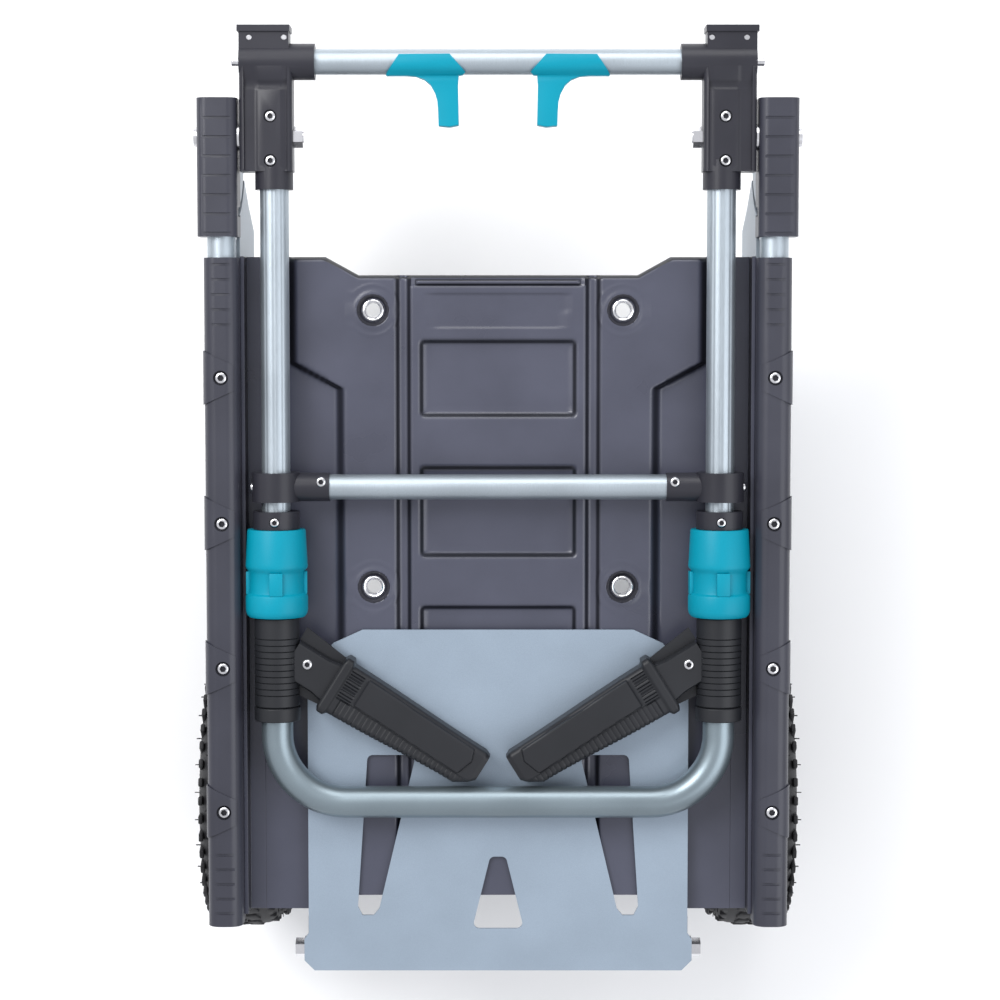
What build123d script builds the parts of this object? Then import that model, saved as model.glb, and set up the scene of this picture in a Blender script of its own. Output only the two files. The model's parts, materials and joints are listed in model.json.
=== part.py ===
from build123d import *
from math import cos, pi, radians, sin, sqrt
import os

# Folding platform cart that also stands up as a hand truck.
# X is across the cart, +Y towards the handle pivots, +Z up from the floor.
# The cart lies flat on its four wheels with the handle folded over the deck.
# Every right-hand piece (x > 0) is built once and mirrored to the left.

os.makedirs("parts", exist_ok=True)

# ---- driving dimensions, millimetres ----
half_length = 416.5          # middle of the cart to the toe plate edge, and to the buffer tips
rail_x = 240.0               # side rail axis from the middle
wheel_radius = 130.0         # load wheel
wheel_width = 78.0
tube_radius = 12.5           # rails and handle uprights
tube_wall = 1.5
push_wall = 1.4              # sliding push handle, runs over the uprights
deck_thickness = 4.0         # moulded deck wall
raised_step = 8.0            # raised middle of the deck above its side channels
toe_thickness = 3.0          # folded steel toe plate
castor_radius = 62.5
castor_height = 155.0        # floor to the top of the castor plate

# ---- clearances ----
run_gap = 0.08               # radial, shaft that turns or slides in a hole
fit_gap = 0.05               # radial, tube fixed in a socket
side_gap = 0.3               # between faces that move past each other

# ---- sizes that follow from them ----
push_inner = tube_radius + 0.1
push_tube_radius = push_inner + push_wall
core_radius = push_tube_radius + 4.0
core_cap_radius = core_radius + 2.5
sleeve_radius = core_radius + 9.3
grip_sleeve_radius = push_tube_radius + 5.75
floor_under = 2 * wheel_radius + 6.0
floor_top = floor_under + deck_thickness
rail_height = floor_top + sleeve_radius + 2.7
cover_wall = 2.5
cover_half_width = tube_radius + cover_wall
cover_half_height = cover_half_width + 2.0
cover_bottom = rail_height - cover_half_height
deck_half_width = rail_x - cover_half_width
raised_top = floor_top + raised_step
toe_under = raised_top + 1.0
toe_top = toe_under + toe_thickness

buffer_reach = 95.0
pivot_y = half_length - buffer_reach
toe_tail = 18.5
toe_hinge_y = -(half_length - toe_tail)
toe_hinge_z = toe_top - 11.0
toe_length = 306.5
wheel_y = toe_hinge_y + wheel_radius - 10.5
deck_rear = pivot_y - 102.5
deck_front = toe_hinge_y + 35.0

wall = 3.5
upright_x = deck_half_width - wall - sleeve_radius - 0.2
raised_foot_x = upright_x - 52.0
raised_top_x = raised_foot_x - 12.0
eyelet_x = raised_top_x - 20.0
toe_half_width = upright_x - 25.0
bracket_x = toe_half_width - 3.5

# ---- builders ----


def block(x0, x1, y0, y1, z0, z1):
    """Box from the positions of its six faces."""
    size = Box(abs(x1 - x0), abs(y1 - y0), abs(z1 - z0))
    return Pos((x0 + x1) / 2, (y0 + y1) / 2, (z0 + z1) / 2) * size


def rod_x(x0, x1, y, z, radius):
    """Round bar along X."""
    return Pos((x0 + x1) / 2, y, z) * Rot(0, 90, 0) * Cylinder(radius, abs(x1 - x0))


def rod_y(y0, y1, x, z, radius):
    """Round bar along Y."""
    return Pos(x, (y0 + y1) / 2, z) * Rot(90, 0, 0) * Cylinder(radius, abs(y1 - y0))


def rod_z(z0, z1, x, y, radius):
    """Round bar along Z."""
    return Pos(x, y, (z0 + z1) / 2) * Cylinder(radius, abs(z1 - z0))


def plate_x(points, x0, x1):
    """Flat plate with a (y, z) outline, thick along X."""
    outline = make_face(Polyline(*[(0, y, z) for y, z in points], close=True))
    return Pos(x0, 0, 0) * extrude(outline, x1 - x0, dir=(1, 0, 0))


def plate_z(points, z0, z1):
    """Flat plate with an (x, y) outline, thick along Z."""
    outline = make_face(Polyline(*[(x, y, 0) for x, y in points], close=True))
    return Pos(0, 0, z0) * extrude(outline, z1 - z0, dir=(0, 0, 1))


def bar_y(x0, x1, y0, y1, z0, z1, top_round, bottom_round):
    """Bar along Y with rounded top and bottom long edges."""
    bar = block(x0, x1, y0, y1, z0, z1)
    long_edges = bar.edges().filter_by(Axis.Y).sort_by(Axis.Z)
    bar = fillet(long_edges[2:], top_round)
    long_edges = bar.edges().filter_by(Axis.Y).sort_by(Axis.Z)
    return fillet(long_edges[:2], bottom_round)


def hex_x(x0, x1, y, z, across_flats):
    """Hexagonal head or nut along X."""
    hexagon = RegularPolygon(across_flats / 2, 6, major_radius=False)
    turned = Plane((x0, y, z), x_dir=(0, 1, 0), z_dir=(1, 0, 0)) * hexagon
    return extrude(turned, x1 - x0, dir=(1, 0, 0))


def hex_z(z0, z1, x, y, across_flats):
    """Hexagonal head or nut along Z."""
    hexagon = RegularPolygon(across_flats / 2, 6, major_radius=False)
    return extrude(Pos(x, y, z0) * hexagon, z1 - z0, dir=(0, 0, 1))


def button_screw(x, y, z_seat, head_radius, shank_radius, shank_length):
    """Low domed screw with a socket, pointing down from its seat."""
    head = rod_z(z_seat, z_seat + head_radius * 0.55, x, y, head_radius)
    head = fillet(head.edges().group_by(Axis.Z)[-1], head_radius * 0.4)
    socket = hex_z(z_seat + head_radius * 0.2, z_seat + head_radius, x, y, head_radius * 0.75)
    shank = rod_z(z_seat - shank_length, z_seat, x, y, shank_radius)
    return head + shank - socket


def both(shape):
    """A piece and its mirror image, as one group of separate solids."""
    return Compound(children=[shape, mirror(shape, Plane.YZ)])


def group(shapes):
    return Compound(children=list(shapes))


def pairs(shapes):
    """Pieces and their mirror images, as one group of separate solids."""
    return group(shapes + [mirror(shape, Plane.YZ) for shape in shapes])


def save(name, shape):
    export_step(shape, "parts/" + name + ".step")


def save_pair(name, shape):
    """Right-hand piece as built, left-hand piece mirrored."""
    save(name + "_r", shape)
    save(name + "_l", mirror(shape, Plane.YZ))


# ---- side rails ----
cover_rear = deck_rear - 1.6
cover_front = deck_front - 5.7
cover_cap = 6.0
housing_front = pivot_y - 86.0
housing_rear = pivot_y + 33.0
housing_depth = 12.5
rail_inner = rail_x - cover_half_width
rail_outer = rail_x + cover_half_width
cover_top = rail_height + cover_half_height
screw_first = pivot_y - 208.0
screw_pitch = 126.8
screw_count = 4
pad_rise = 1.2
screw_shank = 2.9
screw_hole = 3.0
groove = 1.2

rail_tube = rod_y(cover_front + cover_cap, housing_front + housing_depth, rail_x, rail_height, tube_radius)
rail_tube -= rod_y(cover_front, housing_front + 20, rail_x, rail_height, tube_radius - tube_wall)

cover = bar_y(rail_inner, rail_outer, cover_front, cover_rear, cover_bottom, cover_top, 11.0, 2.0)
pad_bar = bar_y(rail_inner + 0.2, rail_outer + pad_rise, cover_front, cover_rear,
                rail_height, cover_top + pad_rise, 11.5, 2.0)
screws = []
for i in range(screw_count):
    y = screw_first - i * screw_pitch
    pad_plan = [(rail_outer + 2, y + 24), (rail_outer + 2, y - 24), (rail_inner + 4, y - 11), (rail_inner + 4, y + 11)]
    cover += pad_bar & plate_z(pad_plan, rail_height, cover_top + 5)
for i in range(screw_count):
    y = screw_first - i * screw_pitch
    cover -= rod_z(cover_top - 2, cover_top + 5, rail_x, y, 6.5)
    cover -= rod_z(rail_height, cover_top + 5, rail_x, y, screw_hole)
    rail_tube -= rod_z(rail_height, cover_top, rail_x, y, screw_hole)
    screws.append(button_screw(rail_x, y, cover_top - 2, 5.25, screw_shank, 8))
for i in range(5):
    rear_line = cover_rear - 6 - 13 * i
    front_line = cover_front + 12 + 13 * i
    for line in (rear_line, front_line):
        cover -= block(rail_inner + 3, rail_outer + 1, line - groove, line + groove, cover_top - groove, cover_top + 1)
cover -= rod_y(cover_front + cover_cap, cover_rear + 1, rail_x, rail_height, tube_radius + fit_gap)

# ---- end housing, carries the handle pivot and the two lock seats ----
pin_radius = 3.5
pin_orbit = 64.5
pin_slot = 4.1
pivot_radius = 5.0
plate_inner = rail_inner + 1.0
plate_outer = plate_inner + 3.0
lobe_outer = plate_outer + 14.0

housing = bar_y(rail_inner, rail_outer + 5, housing_front, housing_rear, cover_bottom, cover_top, 9.0, 2.0)
lobe_box = block(plate_outer, lobe_outer, pivot_y - 56, pivot_y + 23, rail_height - 90, rail_height - 8)
housing += rod_x(plate_outer, lobe_outer, pivot_y, rail_height, 83.0) & lobe_box
for i in range(7):
    y = pivot_y + 15.7 - 16.5 * i
    housing -= block(rail_inner + 5, rail_outer + 6, y - groove, y + groove, cover_top - groove, cover_top + 1)
housing -= rod_y(housing_front - 1, housing_front + housing_depth + 0.3, rail_x, rail_height, tube_radius + fit_gap)
housing -= rod_x(rail_inner - 1, rail_outer + 6, pivot_y, rail_height, pivot_radius)
pin_path = rod_x(rail_inner - 1, plate_outer + 3.5, pivot_y, rail_height, pin_orbit + pin_slot)
pin_path -= rod_x(rail_inner - 2, plate_outer + 4.5, pivot_y, rail_height, pin_orbit - pin_slot)
pin_path &= block(rail_inner - 2, plate_outer + 5, pivot_y - 90, pivot_y + 90, rail_height - 90, rail_height)
housing -= pin_path
housing -= rod_x(rail_inner - 1, plate_outer + 9, pivot_y - pin_orbit, rail_height, pin_slot)
housing -= rod_x(plate_outer - 1, plate_outer + 9, pivot_y, rail_height - pin_orbit, pin_slot)

wear_plate = rod_x(plate_inner, plate_outer, pivot_y, rail_height, pin_orbit - pin_slot)
wear_plate &= block(plate_inner, plate_outer, pivot_y - 55, pivot_y + 20, rail_height - 56, cover_bottom)

pivot_washer = rod_x(rail_inner - 1.8, rail_inner, pivot_y, rail_height, 12.0)
pivot_washer -= rod_x(rail_inner - 3, rail_inner + 1, pivot_y, rail_height, pivot_radius)
bracket_inner = upright_x - 17.0
pivot_bolt = rod_x(bracket_inner - 9, rail_outer + 5, pivot_y, rail_height, pivot_radius)
pivot_bolt += rod_x(rail_outer + 5, rail_outer + 8, pivot_y, rail_height, 8.5)
pivot_nut = hex_x(bracket_inner - side_gap - 8, bracket_inner - side_gap, pivot_y, rail_height, 16.0)
pivot_nut -= rod_x(bracket_inner - 20, bracket_inner, pivot_y, rail_height, pivot_radius)

# ---- deck ----
wall_top = rail_height - 8.0
skirt_bottom = floor_under - 11.0
beam_half = 15.0
beam_rear_y = 40.0
beam_front_y = -122.0
bar_pitch = 124.0
bar_half = 20.0
bar_first = deck_rear - 162.5
bar_count = 4
panel_y0 = deck_rear - 71.0
panel_y1 = deck_rear - 17.5
column_x = 75.7
recess_x = 70.0
recess_depth = 6.0
eyelet_rear_y = deck_rear - 46.7
eyelet_pitch = 244.5
eyelet_bore = 6.25
eyelet_outer = 7.4
eyelet_flange = 10.8

inner_face = deck_half_width - wall
shoulder_x = upright_x - 16.0
edge_x = shoulder_x - 26.0
dip_x = shoulder_x - 55.0
plan = [(deck_half_width, deck_rear), (edge_x, deck_rear), (dip_x, deck_rear - 16)]
plan += [(-dip_x, deck_rear - 16), (-edge_x, deck_rear), (-deck_half_width, deck_rear)]
plan += [(-deck_half_width, deck_front), (-edge_x, deck_front), (-edge_x + 15, deck_front + 14)]
plan += [(edge_x - 15, deck_front + 14), (edge_x, deck_front), (deck_half_width, deck_front)]
deck = plate_z(plan, floor_under, floor_top)
for side in (-1, 1):
    deck += block(side * inner_face, side * deck_half_width, deck_front, deck_rear, floor_under, wall_top)
    deck += block(side * inner_face, side * deck_half_width, beam_front_y - beam_half, deck_rear,
                  skirt_bottom, floor_top)

shoulder_y = deck_rear - 93.0
taper_y = shoulder_y - 23.0


def raised_plan(grow):
    """Outline of the raised middle, wider at the shoulders by the pivots."""
    half = [(raised_top_x + grow, deck_front + 16), (raised_top_x + grow, taper_y - grow)]
    half += [(shoulder_x + grow, shoulder_y - grow), (shoulder_x + grow, deck_rear)]
    half += [(edge_x, deck_rear), (dip_x, deck_rear - 16)]
    return half + [(-x, y) for x, y in reversed(half)]


foot = make_face(Polyline(*[(x, y, floor_top - 0.5) for x, y in raised_plan(12.5)], close=True))
crown = make_face(Polyline(*[(x, y, raised_top) for x, y in raised_plan(0.0)], close=True))
deck += loft([foot, crown], ruled=True)

# undersides are hollow between ribs
rib = 3.0
hollow_top = raised_top - deck_thickness
cell_x = (raised_top_x - 4) / 3
for column in range(-3, 3):
    for row in range(4):
        y_high = (beam_rear_y + beam_half) if row == 1 else (deck_rear - 20)
        rows = [(deck_rear - 20, beam_rear_y + beam_half + 4), (beam_rear_y - beam_half - 4, beam_front_y + beam_half + 4),
                (beam_front_y - beam_half - 4, wheel_y + 20), (wheel_y + 14, deck_front + 22)]
        y_high, y_low = rows[row]
        x_low = column * cell_x + rib / 2
        x_high = (column + 1) * cell_x - rib / 2
        deck -= block(x_low, x_high, y_low, y_high, floor_under - 1, hollow_top - recess_depth)

for beam_y in (beam_rear_y, beam_front_y):
    for rib_x in (-160, -80, 0, 80, 160):
        deck += block(rib_x - 2, rib_x + 2, beam_y - beam_half, beam_y + beam_half, skirt_bottom, floor_under + 1)

# moulded relief of the middle column
groove_x = 82.5
for side in (-1, 1):
    deck -= block(side * (groove_x - 6), side * (groove_x + 6), deck_front + 30, panel_y1 + 4,
                  raised_top - 3.5, raised_top + 1)
bar_edges = [panel_y0]
for i in range(bar_count):
    centre = bar_first - i * bar_pitch
    bar_edges += [centre + bar_half, centre - bar_half]
bar_edges.append(deck_front + 30)
for i in range(0, len(bar_edges), 2):
    y_high = bar_edges[i]
    y_low = bar_edges[i + 1]
    if y_high - y_low > 8:
        pocket = block(-recess_x, recess_x, y_low, y_high, raised_top - recess_depth, raised_top + 1)
        deck -= fillet(pocket.edges().filter_by(Axis.Z), 5.0)
# wear pad on the first cross bar, a little proud of the deck
deck += block(-recess_x + 2, recess_x - 2, bar_first - bar_half + 2, bar_first + bar_half - 2, raised_top - 1, raised_top + 0.5)
badge = [(-65.6, panel_y1 - 14), (65.6, panel_y1 - 14), (57, panel_y0 + 8), (-57, panel_y0 + 8)]
deck -= plate_z(badge, raised_top - 1.2, raised_top + 1)
deck -= block(-74, 74, panel_y1 - 4, panel_y1 - 1, raised_top - 2, raised_top + 1)

eyelets = []
for side in (-1, 1):
    for i in range(2):
        x = side * eyelet_x
        y = eyelet_rear_y - i * eyelet_pitch
        deck += rod_z(floor_under, raised_top, x, y, 16.0)
        deck -= rod_z(raised_top - 2.5, raised_top + 1, x, y, 13.5)
        deck -= rod_z(floor_under - 1, raised_top, x, y, eyelet_outer)
        ring = rod_z(raised_top - 2.5, raised_top - 1.0, x, y, eyelet_flange)
        ring += rod_z(floor_under, raised_top - 2.5, x, y, eyelet_outer)
        ring -= rod_z(floor_under - 1, raised_top, x, y, eyelet_bore)
        eyelets.append(ring)

# ---- cross beams under the deck ----


def cross_beam(y):
    """Square tube under the deck with a post up to each rail."""
    reach = rail_outer - 4
    beam = block(-reach, reach, y - beam_half, y + beam_half, skirt_bottom - 25, skirt_bottom)
    beam -= block(-reach + 2, reach - 2, y - beam_half + 2, y + beam_half - 2, skirt_bottom - 23, skirt_bottom - 2)
    for side in (-1, 1):
        beam += block(side * (plate_outer + 1), side * reach, y - beam_half, y + beam_half, skirt_bottom - 1, cover_bottom)
    return beam


# ---- axle brackets, axle, toe hinge ----
axle_radius = 10.0
ear_radius = 7.5
bracket_thick = 4.0
bracket_out = bracket_x + bracket_thick
hinge_radius = 4.0
wheel_centre_x = rail_x - 6.0
wheel_in = wheel_centre_x - wheel_width / 2
hub_in = wheel_in - 1.0
hub_out = wheel_centre_x + wheel_width / 2 - 8.0
axle_end = hub_out + 1.0

bracket_top_y = beam_front_y - beam_half
bracket_plan = [(bracket_top_y, floor_under), (bracket_top_y, floor_under - 20)]
bracket_plan += [(wheel_y + 26, wheel_radius - 18), (wheel_y - 26, wheel_radius - 18)]
bracket_plan += [(toe_hinge_y - 4, toe_hinge_z - 16), (toe_hinge_y - ear_radius, toe_hinge_z)]
bracket_plan += [(toe_hinge_y, toe_hinge_z + ear_radius), (deck_front - 6, toe_hinge_z + ear_radius)]
bracket_plan += [(deck_front - 1, floor_under)]
axle_bracket = plate_x(bracket_plan, bracket_x, bracket_out)
axle_bracket += rod_x(bracket_x, bracket_out, wheel_y, wheel_radius, 30.0)
axle_bracket -= rod_x(bracket_x - 1, bracket_out + 1, wheel_y, wheel_radius, axle_radius + fit_gap)
axle_bracket -= rod_x(bracket_x - 1, bracket_out + 1, toe_hinge_y, toe_hinge_z, hinge_radius + fit_gap)
window = [(bracket_top_y - 22, floor_under - 30), (wheel_y + 30, wheel_radius + 52), (wheel_y - 26, wheel_radius + 52)]
window += [(wheel_y - 70, floor_under - 30)]
axle_bracket -= plate_x(window, bracket_x - 1, bracket_out + 1)
axle_bracket += block(bracket_x - 22, bracket_x + 1, deck_front + 6, beam_front_y - beam_half, floor_under - 3, floor_under)
deck_bolts = []
for i in range(3):
    y = beam_front_y - beam_half - 15 - i * 95
    axle_bracket -= rod_z(floor_under - 4, floor_under + 1, bracket_x - 11, y, screw_hole)
    deck_hole = rod_z(floor_under - 1, floor_under + 3, bracket_x - 11, y, screw_hole)
    deck -= deck_hole
    deck -= mirror(deck_hole, Plane.YZ)
    bolt = hex_z(floor_under - 7, floor_under - 3, bracket_x - 11, y, 10.0)
    deck_bolts.append(bolt + rod_z(floor_under - 5, floor_under + 2.5, bracket_x - 11, y, screw_shank))

axle = rod_x(-axle_end, axle_end, wheel_y, wheel_radius, axle_radius)
axle_spacer = rod_x(bracket_out, hub_in - side_gap, wheel_y, wheel_radius, 15.0)
axle_spacer -= rod_x(bracket_out - 1, hub_in + 1, wheel_y, wheel_radius, axle_radius + fit_gap)
axle_cap = rod_x(axle_end - 0.7, axle_end + 6, wheel_y, wheel_radius, 14.0)
axle_cap -= rod_x(axle_end - 2, axle_end, wheel_y, wheel_radius, axle_radius + fit_gap)
toe_bolt = rod_x(bracket_x - 8, bracket_out + 5, toe_hinge_y, toe_hinge_z, hinge_radius)
ear_thick = 3.0
ear_in = bracket_out + 0.5
toe_bolt_head = ear_in + ear_thick + side_gap
toe_bolt += rod_x(bracket_out + 5, toe_bolt_head, toe_hinge_y, toe_hinge_z, hinge_radius)
toe_bolt += hex_x(toe_bolt_head, toe_bolt_head + 8, toe_hinge_y, toe_hinge_z, 15.0)
toe_nut = hex_x(bracket_x - 6.5, bracket_x, toe_hinge_y, toe_hinge_z, 13.0)
toe_nut -= rod_x(bracket_x - 9, bracket_x + 1, toe_hinge_y, toe_hinge_z, hinge_radius + fit_gap)

# ---- castor brackets under the rails ----
castor_x = upright_x - 14.0
castor_y = pivot_y - 168.5
carrier_rear = pivot_y - 75.0
flange_rear = castor_y + 50.5
carrier_plan = [(pivot_y - 38, cover_bottom), (pivot_y - 34, rail_height - 61), (pivot_y - 55, rail_height - 98)]
carrier_plan += [(carrier_rear, castor_height + 3), (carrier_rear, castor_height), (castor_y - 60, castor_height)]
carrier_plan += [(beam_rear_y + 30, rail_height - 70), (beam_rear_y + 30, cover_bottom)]
carrier = plate_x(carrier_plan, plate_inner, plate_outer)
carrier -= rod_x(plate_inner - 1, plate_outer + 1, pivot_y, rail_height, pin_orbit + pin_slot)
carrier += block(plate_outer - 1, rail_outer - 3, beam_rear_y + 30, housing_front - 2, cover_bottom - 3, cover_bottom)
carrier += block(castor_x - 52, plate_outer, castor_y - 60, flange_rear, castor_height, castor_height + 3)
carrier_bolts = []
for i in range(3):
    y = beam_rear_y + 48 + i * 60
    carrier -= rod_z(cover_bottom - 4, cover_bottom + 1, rail_x + 3, y, screw_hole)
    cover -= rod_z(cover_bottom - 1, cover_bottom + 4, rail_x + 3, y, screw_hole)
    bolt = hex_z(cover_bottom - 7, cover_bottom - 3, rail_x + 3, y, 10.0)
    carrier_bolts.append(bolt + rod_z(cover_bottom - 5, cover_bottom + 3.5, rail_x + 3, y, screw_shank))

race_z = castor_height - 12.0
kingpin_radius = 6.0
crown_top = race_z - side_gap
crown_bottom = crown_top - 8.0
castor_plate = block(castor_x - 42, castor_x + 42, castor_y - 50, castor_y + 50, castor_height - 4, castor_height)
castor_plate = fillet(castor_plate.edges().filter_by(Axis.Z), 6.0)
castor_plate += Pos(castor_x, castor_y, (race_z + castor_height - 4) / 2) * Cone(22, 28, castor_height - 4 - race_z)
kingpin = rod_z(crown_bottom - 5, castor_height - 2, castor_x, castor_y, kingpin_radius)
kingpin += rod_z(crown_bottom - 7, crown_bottom - side_gap, castor_x, castor_y, 9.0)
castor_plate -= rod_z(race_z - 1, castor_height - 2, castor_x, castor_y, kingpin_radius)
castor_bolts = []
for dx in (-32, 32):
    for dy in (-40, 40):
        carrier -= rod_z(castor_height - 1, castor_height + 4, castor_x + dx, castor_y + dy, 4.0)
        castor_plate -= rod_z(castor_height - 6, castor_height + 1, castor_x + dx, castor_y + dy, 4.0)
        bolt = rod_z(castor_height - 4, castor_height + 3, castor_x + dx, castor_y + dy, 3.9)
        bolt += hex_z(castor_height + 3, castor_height + 8, castor_x + dx, castor_y + dy, 13.0)
        bolt += hex_z(castor_height - 10, castor_height - 4, castor_x + dx, castor_y + dy, 13.0)
        castor_bolts.append(bolt)

# castor fork and wheel
trail = 36.0
castor_width = 32.0
fork_in = castor_width / 2 + 4.0
fork_out = fork_in + 3.0
castor_wheel_y = castor_y - trail
fork = rod_z(crown_bottom, crown_top, castor_x, castor_y, 26.0)
fork += block(castor_x - fork_out, castor_x + fork_out, castor_wheel_y + 4, castor_y, crown_bottom, crown_top)
leg_plan = [(castor_y + 18, crown_top), (castor_wheel_y + 4, crown_top), (castor_wheel_y - 15, castor_radius)]
leg_plan += [(castor_wheel_y - 8, castor_radius - 14), (castor_wheel_y + 8, castor_radius - 14)]
leg_plan += [(castor_wheel_y + 20, castor_radius + 4)]
for side in (-1, 1):
    near = castor_x + side * fork_in
    far = castor_x + side * fork_out
    fork += plate_x(leg_plan, min(near, far), max(near, far))
fork -= rod_z(crown_bottom - 1, crown_top + 1, castor_x, castor_y, kingpin_radius + run_gap)
fork -= rod_x(castor_x - 40, castor_x + 40, castor_wheel_y, castor_radius, 5.0 + fit_gap)
castor_axle = rod_x(castor_x - fork_out, castor_x + fork_out, castor_wheel_y, castor_radius, 5.0)
castor_axle += hex_x(castor_x - fork_out - 5, castor_x - fork_out, castor_wheel_y, castor_radius, 15.0)
castor_axle += hex_x(castor_x + fork_out, castor_x + fork_out + 5, castor_wheel_y, castor_radius, 15.0)


def wheel_ring(points, centre_x, y, z):
    """Solid of revolution about X from a half outline of (offset, radius) points."""
    outline = make_face(Polyline(*[(offset, 0, radius) for offset, radius in points], close=True))
    return Pos(centre_x, y, z) * revolve(outline, Axis.X, 360)


def round_side(half_width, shoulder, bulge, outer, inner, steps):
    """Rounded tyre half section between its bore and its crown."""
    side = []
    for i in range(steps + 1):
        turn = pi * i / steps
        radius = inner + (outer - inner) * (1 - cos(turn)) / 2
        spread = shoulder + bulge * sin(turn) - (shoulder - half_width) * i / steps
        side.append((spread, radius))
    return side


castor_core_radius = castor_radius - 14.0
half = round_side(9.0, 13.0, 3.0, castor_radius, castor_core_radius, 8)
castor_tyre = wheel_ring(half + [(-x, r) for x, r in reversed(half)], castor_x, castor_wheel_y, castor_radius)
core_profile = [(-15, 5 + run_gap), (15, 5 + run_gap), (15, 14), (5, 16), (5, castor_core_radius - 8)]
core_profile += [(13, castor_core_radius - 4), (13, castor_core_radius), (-13, castor_core_radius)]
core_profile += [(-13, castor_core_radius - 4), (-5, castor_core_radius - 8), (-5, 16), (-15, 14)]
castor_core = wheel_ring(core_profile, castor_x, castor_wheel_y, castor_radius)
for side in (-1, 1):
    collar = rod_x(castor_x + side * (15 + side_gap), castor_x + side * fork_in, castor_wheel_y, castor_radius, 9.0)
    castor_axle += collar

# ---- load wheels ----
rim_radius = 0.48 * wheel_radius
tyre_half = wheel_width / 2
half = round_side(16.0, 27.0, 18.4, wheel_radius, rim_radius, 14)
tyre = wheel_ring(half + [(-x, r) for x, r in reversed(half)], wheel_centre_x, wheel_y, wheel_radius)
hub_left = hub_in - wheel_centre_x
hub_right = hub_out - wheel_centre_x
bore = axle_radius + run_gap
rim_profile = [(hub_left, bore), (hub_right, bore), (hub_right, 19), (6, 22), (5, rim_radius - 9)]
rim_profile += [(27, rim_radius - 4), (27, rim_radius), (-27, rim_radius), (-27, rim_radius - 4)]
rim_profile += [(-5, rim_radius - 9), (-6, 22), (hub_left, 19)]
rim = wheel_ring(rim_profile, wheel_centre_x, wheel_y, wheel_radius)
spokes = 8
for i in range(spokes):
    turn = Pos(wheel_centre_x, wheel_y, wheel_radius) * Rot(360 / spokes * i, 0, 0)
    rim += turn * block(-22, 22, -2, 2, 16, rim_radius - 5)

# ---- toe plate ----
toe_end = -half_length
toe_start = toe_end + toe_length
toe_plan = [(toe_half_width - 49, toe_start), (toe_half_width - 23, toe_start - 12)]
toe_plan += [(toe_half_width - 7, toe_start - 32), (toe_half_width, toe_start - 60)]
toe_plan += [(toe_half_width, toe_end + 34), (ear_in + ear_thick, toe_end + 28), (ear_in + ear_thick, toe_end + 9)]
toe_plan += [(ear_in + ear_thick - 9, toe_end)]
toe_plate = plate_z(toe_plan + [(-x, y) for x, y in reversed(toe_plan)], toe_under, toe_top)
slot_high = toe_end + 194.5
slot_low = toe_end + 50.0
slot = [(73, slot_high), (116, slot_high), (125, slot_low + 8), (121, slot_low), (111, slot_low), (106, slot_low + 6)]
slot_cut = plate_z(slot, toe_under - 1, toe_top + 1)
slot_cut = fillet(slot_cut.edges().filter_by(Axis.Z).sort_by(Axis.Y)[-2:], 5.0)
toe_plate -= slot_cut
toe_plate -= mirror(slot_cut, Plane.YZ)
centre_cut = plate_z([(-7, toe_end + 103), (7, toe_end + 103), (23, toe_end + 38), (-23, toe_end + 38)],
                     toe_under - 1, toe_top + 1)
toe_plate -= fillet(centre_cut.edges().filter_by(Axis.Z), 5.0)
ear = rod_x(ear_in, ear_in + ear_thick, toe_hinge_y, toe_hinge_z, 10.0)
ear += block(ear_in, ear_in + ear_thick, toe_hinge_y - 10, toe_hinge_y + 10, toe_hinge_z, toe_under + 0.5)
ear -= rod_x(ear_in - 1, ear_in + 4, toe_hinge_y, toe_hinge_z, hinge_radius + run_gap)
toe_plate += ear
toe_plate += mirror(ear, Plane.YZ)

# ---- handle frame ----
bar_y_pos = pivot_y + pin_orbit
bar_radius = 11.0
bar_wall = 2.0
bracket_outer = rail_inner - 2.0
barrel_radius = 15.75
barrel_in = upright_x - 36.0
socket_end = pivot_y - 45.5
upright_top = pivot_y - 8.3
body_half = tube_radius + 2.5

bracket = block(bracket_inner, bracket_outer, pivot_y - 30, bar_y_pos, rail_height - body_half, rail_height + body_half)
bracket = fillet(bracket.edges().filter_by(Axis.Y), 5.0)
bracket += rod_x(barrel_in, bracket_outer, bar_y_pos, rail_height, barrel_radius)
bracket += rod_y(socket_end, pivot_y - 20, upright_x, rail_height, 16.5)
bracket -= rod_x(barrel_in - 1, upright_x + 6, bar_y_pos, rail_height, bar_radius + fit_gap)
bracket -= rod_x(upright_x, bracket_outer + 1, bar_y_pos, rail_height, pin_radius + run_gap)
bracket -= rod_x(bracket_inner - 1, bracket_outer + 1, pivot_y, rail_height, pivot_radius + run_gap)
bracket -= rod_y(socket_end - 1, upright_top + 0.2, upright_x, rail_height, tube_radius + fit_gap)

buffer_tip = half_length
buffer_block = block(bracket_inner + 3, bracket_outer, bar_y_pos + 9, buffer_tip - 5, rail_height - 12, rail_height + 12)
buffer_block += block(bracket_inner + 2, rail_inner - 0.5, buffer_tip - 5.5, buffer_tip, rail_height - 14, rail_height + 14)
buffer_block -= rod_x(bracket_inner - 5, rail_inner + 5, bar_y_pos, rail_height, barrel_radius + 0.02)
buffer_pins = []
for x in (bracket_inner + 7.0, bracket_outer - 9.0):
    buffer_block -= rod_z(rail_height + 8, rail_height + 15, x, buffer_tip - 10.5, 2.6)
    buffer_block -= rod_z(rail_height - 15, rail_height + 9, x, buffer_tip - 10.5, 2.5)
    buffer_pins.append(rod_z(rail_height - 12, rail_height + 12.4, x, buffer_tip - 10.5, 2.4))

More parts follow.
